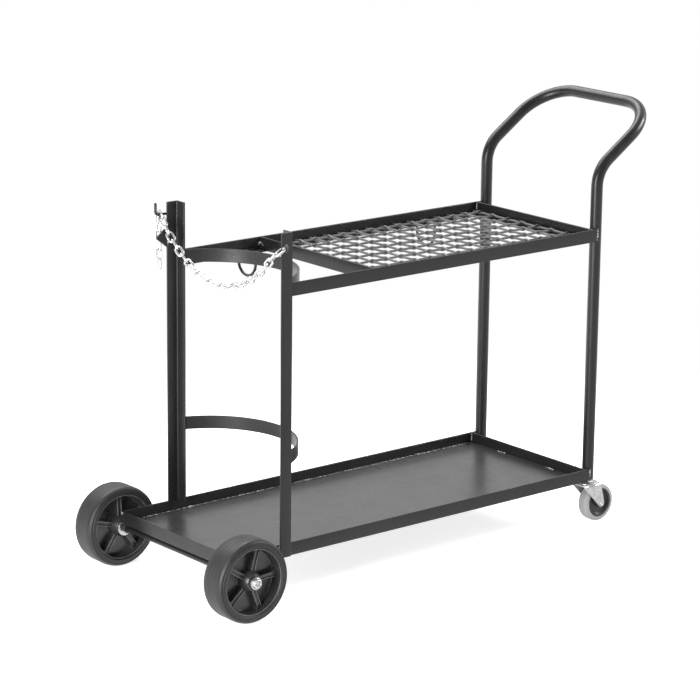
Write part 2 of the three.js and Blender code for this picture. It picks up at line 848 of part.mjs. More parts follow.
function casterBallRing() {
  const middle = (casterKingpinRadius + casterRaceRadius) / 2;
  const height = crownTop + runningGap + casterBallRadius;
  const ball = Array.from({ length: 6 }, (_, index) => {
    const angle = (Math.PI * index) / 3;
    return [middle + casterBallRadius * Math.cos(angle), height + casterBallRadius * Math.sin(angle)];
  });
  return standing(revolved(ball, smallSides));
}

// Fork: a round crown plate folded down into two tapered legs
function casterFork() {
  const inner = casterTreadWidth / 2 + casterForkGap;
  const outer = inner + casterForkWall;
  const back = -casterForkWidth / 2;
  const front = casterForkWidth / 2;
  const crown = standing(revolved([
    [casterKingpinRadius + runningGap, crownBottom],
    [casterRaceRadius, crownBottom],
    [casterRaceRadius, crownTop],
    [casterKingpinRadius + runningGap, crownTop],
  ], casterSegments));
  const plate = cutFrom(
    boxBetween(point(back, -outer, crownBottom), point(front, outer, crownTop)),
    standing(revolved([
      [0, crownBottom - casterForkWall],
      [casterKingpinRadius + runningGap, crownBottom - casterForkWall],
      [casterKingpinRadius + runningGap, crownTop + casterForkWall],
      [0, crownTop + casterForkWall],
    ], casterSegments)),
  );
  const leg = new THREE.Shape();
  leg.moveTo(back, crownTop);
  leg.lineTo(back, crownBottom - casterForkWall);
  leg.absarc(casterTrail, casterRadius, casterForkEnd, Math.PI * 1.2, Math.PI * 2.05, false);
  leg.lineTo(front, crownBottom - casterForkWall);
  leg.lineTo(front, crownTop);
  const eye = new THREE.Path();
  eye.absarc(casterTrail, casterRadius, casterBoltRadius + runningGap / 2, 0, 2 * Math.PI, true);
  leg.holes.push(eye);
  const legs = [-outer, inner].map((face) => {
    const side = new THREE.ExtrudeGeometry(leg, {
      depth: casterForkWall,
      bevelEnabled: false,
      curveSegments: 5,
    });
    return side.rotateX(Math.PI / 2).translate(0, face + casterForkWall, 0);
  });
  return joined(crown, plate, ...legs);
}

function onCasterAxle(geometry) {
  return geometry.translate(casterTrail, 0, casterRadius);
}

function casterBolt() {
  const outer = casterTreadWidth / 2 + casterForkGap + casterForkWall + runningGap / 2;
  const end = outer + casterBoltHeadLength;
  const outline = [
    [0, -end],
    [casterBoltHead, -end],
    [casterBoltHead, -outer],
    [casterBoltRadius, -outer],
    [casterBoltRadius, outer],
    [casterBoltHead, outer],
    [casterBoltHead, end],
    [0, end],
  ].map(([radius, height]) => new THREE.Vector2(radius, height));
  return onCasterAxle(new THREE.LatheGeometry(outline, 8));
}

function casterHub() {
  const bore = casterBoltRadius + runningGap;
  const boss = casterTreadWidth / 2 + casterForkGap - runningGap;
  const rim = casterTreadWidth / 2 - 1;
  const web = rim * 0.55;
  const half = [
    [casterHubRadius, rim],
    [casterHubRadius - 3, rim],
    [casterHubRadius - 5, web],
    [bore + 6, web],
    [bore + 5, boss],
    [bore, boss],
  ];
  const mirrored = half.map(([radius, height]) => [radius, -height]).reverse();
  return onCasterAxle(rolling([...half, ...mirrored], casterSegments));
}

function casterTyre() {
  const seat = casterHubRadius + runningGap / 2;
  const half = casterTreadWidth / 2;
  const depth = casterRadius - seat;
  return onCasterAxle(rolling([
    [seat, -half],
    [casterRadius - depth * 0.5, -half],
    [casterRadius, -half + depth * 0.7],
    [casterRadius, half - depth * 0.7],
    [casterRadius - depth * 0.5, half],
    [seat, half],
  ], casterSegments));
}

function addCasters() {
  [["near", -1], ["far", 1]].forEach(([name, side]) => {
    const place = (geometry) => geometry.translate(tubeX, side * tubeY, 0);
    add(`caster_stem_${name}`, place(casterStem()), "zinc");
    add(`caster_cup_${name}`, place(casterCup()), "zinc");
    add(`caster_ball_ring_${name}`, place(casterBallRing()), "zinc");
    add(`caster_fork_${name}`, place(casterFork()), "zinc");
    add(`caster_bolt_${name}`, place(casterBolt()), "zinc");
    add(`caster_hub_${name}`, place(casterHub()), "blackPlastic");
    add(`caster_tyre_${name}`, place(casterTyre()), "greyRubber");
  });
}

addTray();
addPosts();
addShelfRails();
addShelfMesh();
addHandle();
addBands();
addCableHooks();
addChainHook();
addTab();
addChainSpan();
addHookLink();
addChainTail();
addAxle();
addWheels();
addCasters();

// The origin is under the middle of the whole cart, on the ground
const extent = new THREE.Box3().setFromObject(cart);
const middle = extent.getCenter(new THREE.Vector3());
cart.position.set(-middle.x, -middle.y, -extent.min.z);
cart.updateMatrixWorld(true);

export default cart;
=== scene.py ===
# Welding cart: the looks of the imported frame. Metres, +Z up, wheel end at -X, chain hook post at +Y.
import json
import math
import random

import bmesh
import bpy
from mathutils import Matrix, Quaternion, Vector


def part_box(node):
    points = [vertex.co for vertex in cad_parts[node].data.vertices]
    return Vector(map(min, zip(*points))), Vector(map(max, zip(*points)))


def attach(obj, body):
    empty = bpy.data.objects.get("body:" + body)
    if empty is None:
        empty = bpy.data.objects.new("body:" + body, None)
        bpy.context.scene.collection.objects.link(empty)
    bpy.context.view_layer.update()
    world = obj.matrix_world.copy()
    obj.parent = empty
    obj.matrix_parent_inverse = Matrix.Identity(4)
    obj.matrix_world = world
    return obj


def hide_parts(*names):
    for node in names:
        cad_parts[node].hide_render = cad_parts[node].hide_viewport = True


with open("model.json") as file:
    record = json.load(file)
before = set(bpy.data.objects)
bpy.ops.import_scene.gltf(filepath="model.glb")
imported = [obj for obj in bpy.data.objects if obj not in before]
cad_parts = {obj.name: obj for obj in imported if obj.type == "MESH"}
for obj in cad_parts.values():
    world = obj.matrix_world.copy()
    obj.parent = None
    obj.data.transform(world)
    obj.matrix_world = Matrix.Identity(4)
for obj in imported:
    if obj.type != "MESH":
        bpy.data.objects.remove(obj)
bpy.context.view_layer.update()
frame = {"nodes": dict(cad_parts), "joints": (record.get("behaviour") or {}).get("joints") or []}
joints = {joint["name"]: Vector(joint["pos_m"]) for joint in frame["joints"]}
chance = random.Random(11)

MM = 0.001
UP = Vector((0, 0, 1))
ALONG = Vector((1, 0, 0))
ACROSS = Vector((0, 1, 0))
SIDES = {"near": -1, "far": 1}

# Places of the frame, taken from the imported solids
WHEEL_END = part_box("tray_rim_wheel_end")[0].x
HANDLE_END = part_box("tray_rim_handle_end")[1].x
HALF_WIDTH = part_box("tray_rim_far")[1].y
TRAY_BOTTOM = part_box("tray_rim_far")[0].z
RIM_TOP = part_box("tray_rim_far")[1].z
SHELF_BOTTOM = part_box("shelf_rail_far")[0].z
SHELF_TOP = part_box("shelf_rail_far")[1].z
SHELF_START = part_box("shelf_rail_wheel_end")[0].x
POST_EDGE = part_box("post_far")[0].x
POST_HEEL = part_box("post_far")[1].x
POST_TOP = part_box("post_far")[1].z
POST_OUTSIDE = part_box("post_far")[1].y

# Angle iron
LEG = RIM_TOP - TRAY_BOTTOM
WALL = POST_OUTSIDE - HALF_WIDTH
ROOT_RADIUS = 2.5 * MM
HEEL_RADIUS = 0.9 * MM
TOE_RADIUS = 1.4 * MM
EDGE_RADIUS = 0.35 * MM

# Handle tube
TUBE_RADIUS = 11.5 * MM
TUBE_X = joints["caster_near_swivel"].x
TUBE_Y = joints["caster_far_swivel"].y
TUBE_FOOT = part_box("handle_tube")[0].z
RAIL_STOP = TUBE_X - TUBE_RADIUS / 2
HANDLE_SLOPE = math.radians(34)
HANDLE_REACH = 159 * MM
HANDLE_KNEE = 62 * MM
HANDLE_BEND = 87.5 * MM

# Shelf mesh
MESH_WIRE = 2.35 * MM
MESH_PITCH_ALONG = 35.3 * MM
MESH_PITCH_ACROSS = 42.5 * MM
MESH_CRIMP = 0.95 * MESH_WIRE
MESH_CRIMP_POWER = 7
MESH_ROW_INSET = MESH_WIRE + ROOT_RADIUS

# Cylinder bands
BAND_LAP = 6 * MM
BAND_THICKNESS = 3 * MM
BAND_EDGE = 0.6 * MM

# Round bar hooks
CABLE_HOOK_WIRE = 2.8 * MM
CHAIN_HOOK_WIRE = 2.25 * MM
CHAIN_HOOK_BEND = 7 * MM
CHAIN_HOOK_SKIN = 0.3 * MM

# Chain links, by the centre line of their wire
LINK_WIRE = 2 * MM
LINK_HALF_LENGTH = 10.5 * MM
LINK_HALF_WIDTH = 5.5 * MM
LINK_PITCH = 17.35 * MM
LINK_BITE = 0.35 * MM
LINK_PLAY = 1 * MM
LINK_TWIST = math.radians(-42)
TWIST_LINKS = 3
SPAN_LINKS = 23
TAIL_LINKS = 6
CHAIN_SEAT = 0.3 * MM
CHAIN_HOLE_RADIUS = 4.6 * MM
CHAIN_HOLE_EDGE = 6.5 * MM
CHAIN_HOLE_DROP = 28 * MM
CHAIN_PIVOT_SHIFT = 2.6 / 3 * MM
CHAIN_POST_TILT = math.radians(30)
CHAIN_HOOK_SHIFT = 0.8 * MM

# Main wheels
WHEEL_RADIUS = joints["wheel_near_roll"].z
WHEEL_HALF = (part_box("wheel_tyre_far")[1].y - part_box("wheel_tyre_far")[0].y) / 2
WHEEL_SEAT = 62.1 * MM
WHEEL_RIBS = 5
WHEEL_RIB_ANGLES = {"near": 3, "far": 20}
AXLE_RADIUS = 5 * MM
AXLE_PLATE_END = 8.5 * MM
WASHER_LIPS = {"inner": 2 * MM, "outer": -1.4 * MM}
WHEEL_WEB = 2.6 * MM
WHEEL_BOSS = 19 * MM
WHEEL_CAVITY = 60 * MM
RIB_TOP = 15.5 * MM
RIB_HALF = 4.6 * MM
RIB_GROOVE_HALF = 3 * MM
RIB_GROOVE_DEPTH = 2.4 * MM
# Radius of the light rods that paint highlights on the hub's edges
HIGHLIGHT_ROD_RADIUS = 0.6 * MM

# Casters
CASTER_RADIUS = joints["caster_near_roll"].z
CASTER_TRAIL = joints["caster_near_roll"].x - joints["caster_near_swivel"].x
CASTER_HALF = (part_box("caster_tyre_far")[1].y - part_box("caster_tyre_far")[0].y) / 2
CASTER_SEAT = 29.1 * MM
CROWN_TOP = joints["caster_near_swivel"].z
FORK_WALL = 2.5 * MM
FORK_HALF = 22 * MM
FORK_EYE = 7.5 * MM
FORK_GAP = 2.5 * MM

# Smoothness
TUBE_SIDES = 28
WIRE_SIDES = 12
LINK_SIDES = 10
WHEEL_SEGMENTS = 96
SMALL_SEGMENTS = 48


# Materials


def new_material(name):
    material = bpy.data.materials.new(name)
    material.use_nodes = True
    tree = material.node_tree
    place = tree.nodes.new("ShaderNodeTexCoord").outputs["Object"]
    return material, tree, tree.nodes["Principled BSDF"], place


def add_noise(tree, place, scale, detail=3.0, roughness=0.55, stretch=None):
    """Noise at a scale given in features per metre, drawn out along an axis where stretch is given."""
    if stretch:
        mapping = tree.nodes.new("ShaderNodeMapping")
        mapping.inputs["Scale"].default_value = stretch
        tree.links.new(place, mapping.inputs["Vector"])
        place = mapping.outputs["Vector"]
    node = tree.nodes.new("ShaderNodeTexNoise")
    node.inputs["Scale"].default_value = scale
    node.inputs["Detail"].default_value = detail
    node.inputs["Roughness"].default_value = roughness
    tree.links.new(place, node.inputs["Vector"])
    return node.outputs["Fac"]


def add_cells(tree, place, scale):
    node = tree.nodes.new("ShaderNodeTexVoronoi")
    node.inputs["Scale"].default_value = scale
    tree.links.new(place, node.inputs["Vector"])
    return node


def add_ramp(tree, value, stops):
    """Colours along a value; each stop is (position, grey or colour)."""
    node = tree.nodes.new("ShaderNodeValToRGB")
    ramp = node.color_ramp
    while len(ramp.elements) < len(stops):
        ramp.elements.new(1.0)
    for element, (position, color) in zip(ramp.elements, stops):
        rgb = color if isinstance(color, tuple) else (color, color, color)
        element.position = position
        element.color = (*rgb, 1.0)
    tree.links.new(value, node.inputs["Fac"])
    return node.outputs["Color"]


def add_range(tree, value, low, high, from_low=0.3, from_high=0.7):
    node = tree.nodes.new("ShaderNodeMapRange")
    node.inputs["From Min"].default_value = from_low
    node.inputs["From Max"].default_value = from_high
    node.inputs["To Min"].default_value = low
    node.inputs["To Max"].default_value = high
    tree.links.new(value, node.inputs["Value"])
    return node.outputs["Result"]


def add_bump(tree, height, distance, strength, under=None):
    node = tree.nodes.new("ShaderNodeBump")
    node.inputs["Distance"].default_value = distance
    node.inputs["Strength"].default_value = strength
    tree.links.new(height, node.inputs["Height"])
    if under:
        tree.links.new(under, node.inputs["Normal"])
    return node.outputs["Normal"]


def add_mix(tree, share, first, second):
    node = tree.nodes.new("ShaderNodeMix")
    node.data_type = "RGBA"
    tree.links.new(share, node.inputs["Factor"])
    tree.links.new(first, node.inputs[6])
    tree.links.new(second, node.inputs[7])
    return node.outputs[2]


def coated_steel(name, dark, light, rough_low, rough_high, peel):
    """Powder coat: soft colour drift, an orange-peel skin and slightly uneven gloss."""
    material, tree, shader, place = new_material(name)
    drift = add_noise(tree, place, 9.0, 4.0)
    speck = add_noise(tree, place, 420.0, 2.0)
    drifted = add_ramp(tree, drift, [(0.3, dark), (0.7, light)])
    specked = add_ramp(tree, speck, [(0.35, tuple(0.9 * c for c in dark)), (0.7, light)])
    share = add_range(tree, drift, 0.25, 0.45)
    tree.links.new(add_mix(tree, share, drifted, specked), shader.inputs["Base Color"])
    gloss = add_noise(tree, place, 35.0, 5.0)
    tree.links.new(add_range(tree, gloss, rough_low, rough_high), shader.inputs["Roughness"])
    skin = add_noise(tree, place, 750.0, 2.0)
    waves = add_noise(tree, place, 90.0, 2.0)
    broad = add_bump(tree, waves, 0.3 * MM, 0.12)
    tree.links.new(add_bump(tree, skin, 0.08 * MM, peel, broad), shader.inputs["Normal"])
    shader.inputs["Specular IOR Level"].default_value = 0.36
    return material


def tray_steel(name):
    """Grey-black coated sheet: broad smudges, rolling streaks and fine scuffs."""
    material, tree, shader, place = new_material(name)
    smudge = add_noise(tree, place, 4.5, 5.0, 0.6)
    streak = add_noise(tree, place, 60.0, 3.0, 0.5, (0.12, 1.0, 1.0))
    base = add_ramp(tree, smudge, [(0.3, (0.026, 0.0255, 0.026)), (0.7, (0.040, 0.0395, 0.040))])
    lined = add_ramp(tree, streak, [(0.3, (0.024, 0.0235, 0.024)), (0.75, (0.046, 0.0455, 0.046))])
    share = add_range(tree, smudge, 0.25, 0.5)
    tree.links.new(add_mix(tree, share, base, lined), shader.inputs["Base Color"])
    scuff = add_noise(tree, place, 28.0, 6.0, 0.65)
    tree.links.new(add_range(tree, scuff, 0.25, 0.33), shader.inputs["Roughness"])
    skin = add_noise(tree, place, 650.0, 2.0)
    waves = add_noise(tree, place, 5.0, 2.0, 0.4)
    broad = add_bump(tree, waves, 2.5 * MM, 0.35)
    tree.links.new(add_bump(tree, skin, 0.05 * MM, 0.1, broad), shader.inputs["Normal"])
    shader.inputs["Specular IOR Level"].default_value = 0.5
    return material


def weld_steel_painted_glints(name, dark, light):
    """Painted weld: dark, with light specks painted into its colour at random, as painted glints."""
    material, tree, shader, place = new_material(name)
    painted_glint_noise = add_noise(tree, place, 230.0, 3.0, 0.6)
    # The light stop of this ramp is painted glint, not the weld's own colour.
    tree.links.new(add_ramp(tree, painted_glint_noise, [(0.46, dark), (0.62, light)]), shader.inputs["Base Color"])
    tree.links.new(add_range(tree, painted_glint_noise, 0.32, 0.12), shader.inputs["Roughness"])
    skin = add_noise(tree, place, 700.0, 2.0)
    tree.links.new(add_bump(tree, skin, 0.1 * MM, 0.4), shader.inputs["Normal"])
    return material


def plated_steel(name, dark, light, rough_low, rough_high, spangle, metal=1.0):
    """Bright zinc plate: a faint spangle, cloudy gloss and fine drawing marks."""
    material, tree, shader, place = new_material(name)
    cells = add_cells(tree, place, spangle)
    cloud = add_noise(tree, place, 110.0, 4.0)
    flecks = add_ramp(tree, cells.outputs["Color"], [(0.1, dark), (0.9, light)])
    clouds = add_ramp(tree, cloud, [(0.3, dark), (0.7, light)])
    share = add_range(tree, cloud, 0.35, 0.65)
    tree.links.new(add_mix(tree, share, flecks, clouds), shader.inputs["Base Color"])
    tree.links.new(add_range(tree, cloud, rough_low, rough_high), shader.inputs["Roughness"])
    marks = add_noise(tree, place, 900.0, 2.0, 0.5, (1.0, 1.0, 0.2))
    tree.links.new(add_bump(tree, marks, 0.05 * MM, 0.2), shader.inputs["Normal"])
    shader.inputs["Metallic"].default_value = metal
    return material


def moulded(name, dark, light, rough_low, rough_high, grain, depth, specular):
    """Moulded rubber or plastic: dusty colour drift, mould grain and uneven sheen."""
    material, tree, shader, place = new_material(name)
    dust = add_noise(tree, place, 38.0, 5.0, 0.6)
    speck = add_noise(tree, place, 600.0, 2.0)
    dusty = add_ramp(tree, dust, [(0.35, dark), (0.72, light)])
    specked = add_ramp(tree, speck, [(0.35, dark), (0.75, light)])
    share = add_range(tree, speck, 0.2, 0.5)
    tree.links.new(add_mix(tree, share, dusty, specked), shader.inputs["Base Color"])
    tree.links.new(add_range(tree, dust, rough_low, rough_high), shader.inputs["Roughness"])
    skin = add_noise(tree, place, grain, 3.0)
    tree.links.new(add_bump(tree, skin, depth, 0.35), shader.inputs["Normal"])
    shader.inputs["Specular IOR Level"].default_value = specular
    return material


BLACK = (0.010, 0.0098, 0.0104)
SOOT = (0.017, 0.0166, 0.0176)
FINISHES = {
    "powder_coat": coated_steel("powder_coat", BLACK, SOOT, 0.26, 0.38, 0.3),
    # The frame's black coat made lighter for the shelf mesh: painted sheen standing in for the highlights on the
    # round wires.
    "mesh_coat": coated_steel("mesh_coat", (0.075, 0.0735, 0.076), (0.14, 0.1375, 0.142), 0.3, 0.42, 0.3),
    "tray_coat": tray_steel("tray_coat"),
    # Weld finish: the dark coat with painted glints in its colour.
    "weld_coat_painted_glints": weld_steel_painted_glints("weld_coat_painted_glints", (0.03, 0.0295, 0.0305), (0.5, 0.495, 0.505)),
    "zinc": plated_steel("zinc", (0.36, 0.36, 0.355), (0.56, 0.56, 0.55), 0.26, 0.42, 260.0),
    "chain_zinc": plated_steel("chain_zinc", (0.56, 0.56, 0.55), (0.80, 0.80, 0.79), 0.26, 0.4, 420.0),
    "fork_zinc": plated_steel("fork_zinc", (0.34, 0.34, 0.337), (0.60, 0.60, 0.595), 0.28, 0.44, 300.0, 0.62),
    "wheel_plastic": moulded("wheel_plastic", (0.020, 0.020, 0.0205), (0.034, 0.034, 0.0345),
                             0.22, 0.36, 900.0, 0.05 * MM, 0.5),
    "wheel_rubber": moulded("wheel_rubber", (0.010, 0.010, 0.0103), (0.020, 0.020, 0.0204),
                            0.42, 0.58, 700.0, 0.08 * MM, 0.42),
    # Lighter plastic for the rods on the rib and rim edges: painted highlights.
    "plastic_painted_highlight": moulded("plastic_painted_highlight", (0.09, 0.09, 0.0905), (0.25, 0.25, 0.2505),
                            0.24, 0.38, 900.0, 0.05 * MM, 0.5),
    "caster_plastic": moulded("caster_plastic", (0.014, 0.014, 0.0145), (0.026, 0.026, 0.0265),
                              0.34, 0.48, 900.0, 0.05 * MM, 0.5),
    "caster_rubber": moulded("caster_rubber", (0.25, 0.248, 0.252), (0.39, 0.387, 0.392),
                             0.42, 0.6, 700.0, 0.06 * MM, 0.4),
}


# Mesh helpers


def rounded(corners, steps=4):
    """A closed 2-D outline with rounded corners; each corner is (u, v, radius)."""
    outline = []
    for index, (u, v, radius) in enumerate(corners):
        here = Vector((u, v))
        back = (Vector(corners[index - 1][:2]) - here).normalized()
        ahead = (Vector(corners[(index + 1) % len(corners)][:2]) - here).normalized()
        if radius <= 0:
            outline.append(here)
            continue
        half = math.acos(max(-1.0, min(1.0, back.dot(ahead)))) / 2
        center = here + (back + ahead).normalized() * (radius / math.sin(half))
        first = here + back * (radius / math.tan(half)) - center
        last = here + ahead * (radius / math.tan(half)) - center
        begin = math.atan2(first.y, first.x)
        turn = (math.atan2(last.y, last.x) - begin + math.pi) % (2 * math.pi) - math.pi
        for step in range(steps + 1):
            angle = begin + turn * step / steps
            outline.append(center + radius * Vector((math.cos(angle), math.sin(angle))))
    return outline


def circle(radius, sides):
    """A round section for bars and tubes."""
    turns = [2 * math.pi * side / sides for side in range(sides)]
    return [Vector((radius * math.cos(turn), radius * math.sin(turn))) for turn in turns]


def loft(bm, rings, looped=False):
    """Joins equal rings of points with faces, and closes the two ends unless the rings run in a loop."""
    made = [[bm.verts.new(spot) for spot in ring] for ring in rings]
    pairs = list(zip(made, made[1:]))
    if looped:
        pairs.append((made[-1], made[0]))
    for first, second in pairs:
        for index in range(len(first)):
            follow = (index + 1) % len(first)
            bm.faces.new((first[index], first[follow], second[follow], second[index]))
    if not looped:
        bm.faces.new(list(reversed(made[0])))
        bm.faces.new(made[-1])


def prism(bm, outline, origin, u_axis, v_axis, run):
    """A straight bar of a 2-D outline."""
    ring = [origin + u_axis * spot.x + v_axis * spot.y for spot in outline]
    loft(bm, [ring, [spot + run for spot in ring]])


def box(bm, low, high):
    outline = [Vector((low.x, low.y)), Vector((high.x, low.y)), Vector((high.x, high.y)), Vector((low.x, high.y))]
    prism(bm, outline, UP * low.z, ALONG, ACROSS, UP * (high.z - low.z))


def sweep(bm, path, section, looped=False, scales=None):
    """A bar of a 2-D section carried along a path without twist."""
    count = len(path)
    runs = []
    for index in range(count):
        before = path[index - 1] if looped or index > 0 else path[0]
        after = path[(index + 1) % count] if looped or index < count - 1 else path[-1]
        runs.append((after - before).normalized())
    side = runs[0].orthogonal().normalized()
    rings = []
    for index, (spot, run) in enumerate(zip(path, runs)):
        if index > 0:
            side = runs[index - 1].rotation_difference(run) @ side
        side = (side - run * side.dot(run)).normalized()
        other = run.cross(side)
        scale = scales[index] if scales else 1.0
        rings.append([spot + (side * corner.x + other * corner.y) * scale for corner in section])
    loft(bm, rings, looped)


def round_bar(bm, path, radius, sides=WIRE_SIDES):
    """A round bar with slightly domed ends."""
    dome = [(0.0, 0.55), (0.28, 0.86), (0.6, 1.0)]
    first = (path[1] - path[0]).normalized()
    last = (path[-2] - path[-1]).normalized()
    head = [path[0] + first * radius * along for along, _ in dome]
    tail = [path[-1] + last * radius * along for along, _ in reversed(dome)]
    sizes = [size for _, size in dome]
    scales = sizes + [1.0] * (len(path) - 2) + list(reversed(sizes))
    sweep(bm, head + path[1:-1] + tail, circle(radius, sides), scales=scales)


def lathe(bm, outline, center, axis, segments=WHEEL_SEGMENTS):
    """A turned solid from a closed outline of (radius, height along the axis)."""
    side = axis.orthogonal().normalized()
    other = axis.cross(side)
    rings = []
    for segment in range(segments):
        turn = 2 * math.pi * segment / segments
        radial = side * math.cos(turn) + other * math.sin(turn)
        rings.append([center + radial * spot[0] + axis * spot[1] for spot in outline])
    loft(bm, rings, looped=True)


def bend_points(before, corner, after, radius, steps):
    """Points of a route's corner rounded to a bend radius."""
    back = (before - corner).normalized()
    ahead = (after - corner).normalized()
    half = back.angle(ahead) / 2
    center = corner + (back + ahead).normalized() * (radius / math.sin(half))
    first = (corner + back * (radius / math.tan(half)) - center).normalized()
    second = -back
    turn = math.pi - 2 * half
    angles = [turn * step / steps for step in range(steps + 1)]
    return [center + (first * math.cos(angle) + second * math.sin(angle)) * radius for angle in angles]


def rounded_route(corners, radii, steps=14):
    """A route whose inner corners are bent to the given radii."""
    route = [corners[0]]
    for before, corner, after, radius in zip(corners, corners[1:], corners[2:], radii):
        route += bend_points(before, corner, after, radius, steps)
    return route + [corners[-1]]


def mesh_object(name, bm):
    bmesh.ops.remove_doubles(bm, verts=bm.verts, dist=1e-6)
    bmesh.ops.recalc_face_normals(bm, faces=bm.faces)
    mesh = bpy.data.meshes.new(name)
    bm.to_mesh(mesh)
    bm.free()
    made = bpy.data.objects.new(name, mesh)
    bpy.context.scene.collection.objects.link(made)
    return made


def carve(piece, *tools):
    """Cuts closed meshes out of a piece."""
    for bm in tools:
        cutter = mesh_object("cutter", bm)
        cut = piece.modifiers.new("cut", "BOOLEAN")
        cut.object = cutter
        cut.operation = "DIFFERENCE"
        cut.solver = "EXACT"
        graph = bpy.context.evaluated_depsgraph_get()
        carved = bpy.data.meshes.new_from_object(piece.evaluated_get(graph))
        piece.modifiers.clear()
        piece.data = carved
        bpy.data.objects.remove(cutter)
    return piece


def dress(piece, slot, body, *nodes, edge=0.0, sharp=32.0, finish=None):
    """Gives a piece its finish, its rounded edges, its body and the nodes that it stands for."""
    mesh = piece.data
    mesh.materials.clear()
    mesh.materials.append(FINISHES[finish or slot])
    mesh.shade_smooth()
    mesh.set_sharp_from_angle(angle=math.radians(sharp))
    if edge:
        bevel = piece.modifiers.new("edges", "BEVEL")
        bevel.width = edge
        bevel.segments = 2
        bevel.limit_method = "ANGLE"
        bevel.angle_limit = math.radians(40)
    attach(piece, body)
    if nodes:
        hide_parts(*nodes)
    return piece


def make(name, bm, slot, body, *nodes, **looks):
    return dress(mesh_object(name, bm), slot, body, *nodes, **looks)


# Angle-iron frame


def angle_outline():
    """The rolled section from its heel, with the first leg on u and the second on v."""
    return rounded([
        (0, 0, HEEL_RADIUS),
        (LEG, 0, EDGE_RADIUS),
        (LEG, WALL, TOE_RADIUS),
        (WALL, WALL, ROOT_RADIUS),
        (WALL, LEG, TOE_RADIUS),
        (0, LEG, EDGE_RADIUS),
    ])


def side_rail(side, start, bottom):
    """A long rail: its upright leg runs into the handle tube, its flat leg stops at the end rail."""
    bm = bmesh.new()
    stop = RAIL_STOP
    heel = Vector((start, side * HALF_WIDTH, bottom))
    prism(bm, angle_outline(), heel, ACROSS * -side, UP, ALONG * (stop - start))
    rail = mesh_object("rail", bm)
    tool = bmesh.new()
    near = side * (HALF_WIDTH - WALL)
    far = side * (HALF_WIDTH - 2 * LEG)
    box(tool,
        Vector((HANDLE_END, min(near, far), bottom - LEG)),
        Vector((stop + LEG, max(near, far), bottom + 2 * LEG)))
    return carve(rail, tool)


def end_rail(heel_x, inward, bottom):
    """A cross rail between the side rails, with its flat leg notched clear of theirs."""
    bm = bmesh.new()
    reach = HALF_WIDTH - WALL
    heel = Vector((heel_x, -reach, bottom))
    prism(bm, angle_outline(), heel, ALONG * inward, UP, ACROSS * (2 * reach))
    rail = mesh_object("rail", bm)
    for side in SIDES.values():
        for inset, height in ((LEG, WALL), (WALL + ROOT_RADIUS, WALL + ROOT_RADIUS)):
            tool = bmesh.new()
            inner = side * (HALF_WIDTH - inset)
            outer = side * (HALF_WIDTH + LEG)
            box(tool,
                Vector((heel_x - 2 * LEG, min(inner, outer), bottom - LEG)),
                Vector((heel_x + 2 * LEG, max(inner, outer), bottom + height)))
            carve(rail, tool)
    return rail


def add_rails():
    shelves = {"tray_rim": (WHEEL_END, WHEEL_END, TRAY_BOTTOM), "shelf_rail": (POST_HEEL, SHELF_START, SHELF_BOTTOM)}
    for shelf, (start, wheel_end, bottom) in shelves.items():
        rails = {
            "near": side_rail(-1, start, bottom),
            "far": side_rail(1, start, bottom),
            "wheel_end": end_rail(wheel_end, 1, bottom),
            "handle_end": end_rail(HANDLE_END, -1, bottom),
        }
        for place, rail in rails.items():
            rail.name = f"{shelf}_{place}_iron"
            dress(rail, "powder_coat", "frame", f"{shelf}_{place}", edge=EDGE_RADIUS)


def add_posts():
    for name, side in SIDES.items():
        bm = bmesh.new()
        heel = Vector((POST_HEEL, side * POST_OUTSIDE, TRAY_BOTTOM))
        prism(bm, angle_outline(), heel, -ALONG, ACROSS * -side, UP * (POST_TOP - TRAY_BOTTOM))
        iron = mesh_object(f"post_{name}_iron", bm)
        cope = bmesh.new()
        face = side * HALF_WIDTH
        past = side * (HALF_WIDTH - 2 * LEG)
        box(cope,
            Vector((POST_EDGE - LEG, min(face, past), TRAY_BOTTOM - LEG)),
            Vector((POST_HEEL + LEG, max(face, past), RIM_TOP)))
        carve(iron, cope)
        if name == "near":
            hole = bmesh.new()
            prism(hole, circle(CHAIN_HOLE_RADIUS, 32), CHAIN_HOLE - ACROSS * LEG, ALONG, UP, ACROSS * 2 * LEG)
            carve(iron, hole)
        dress(iron, "powder_coat", "frame", f"post_{name}", edge=EDGE_RADIUS)


def add_tray_floor():
    """The floor sheet, with the slight waves of thin plate."""
    low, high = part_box("tray_floor")
    columns = 72
    rows = 28
    rings = []
    for column in range(columns + 1):
        along = column / columns
        x = low.x + (high.x - low.x) * along
        top = []
        bottom = []
        for row in range(rows + 1):
            over = row / rows
            y = low.y + (high.y - low.y) * over
            rim = math.sin(math.pi * along) * math.sin(math.pi * over)
            wave = 0.45 * MM * rim * math.sin(5.2 * along + 2.4 * over) * math.cos(3.1 * over - 1.7 * along)
            top.append(Vector((x, y, high.z + wave)))
            bottom.append(Vector((x, y, low.z + max(0.0, wave))))
        rings.append(top + bottom[::-1])
    bm = bmesh.new()
    loft(bm, rings)
    make("tray_sheet", bm, "tray_coat", "frame", "tray_floor", sharp=40)


# Handle, bands and hooks


def add_handle():
    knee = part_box("handle_tube")[1].z - TUBE_RADIUS - HANDLE_REACH * math.tan(HANDLE_SLOPE)
    bar_x = TUBE_X + HANDLE_REACH
    bar_z = knee + HANDLE_REACH * math.tan(HANDLE_SLOPE)
    corners = [
        Vector((TUBE_X, -TUBE_Y, TUBE_FOOT)),
        Vector((TUBE_X, -TUBE_Y, knee)),
        Vector((bar_x, -TUBE_Y, bar_z)),
        Vector((bar_x, TUBE_Y, bar_z)),
        Vector((TUBE_X, TUBE_Y, knee)),
        Vector((TUBE_X, TUBE_Y, TUBE_FOOT)),
    ]
    bm = bmesh.new()
    radii = (HANDLE_KNEE, HANDLE_BEND, HANDLE_BEND, HANDLE_KNEE)
    sweep(bm, rounded_route(corners, radii), circle(TUBE_RADIUS, TUBE_SIDES))
    make("handle_bent_tube", bm, "powder_coat", "frame", "handle_tube", edge=EDGE_RADIUS)


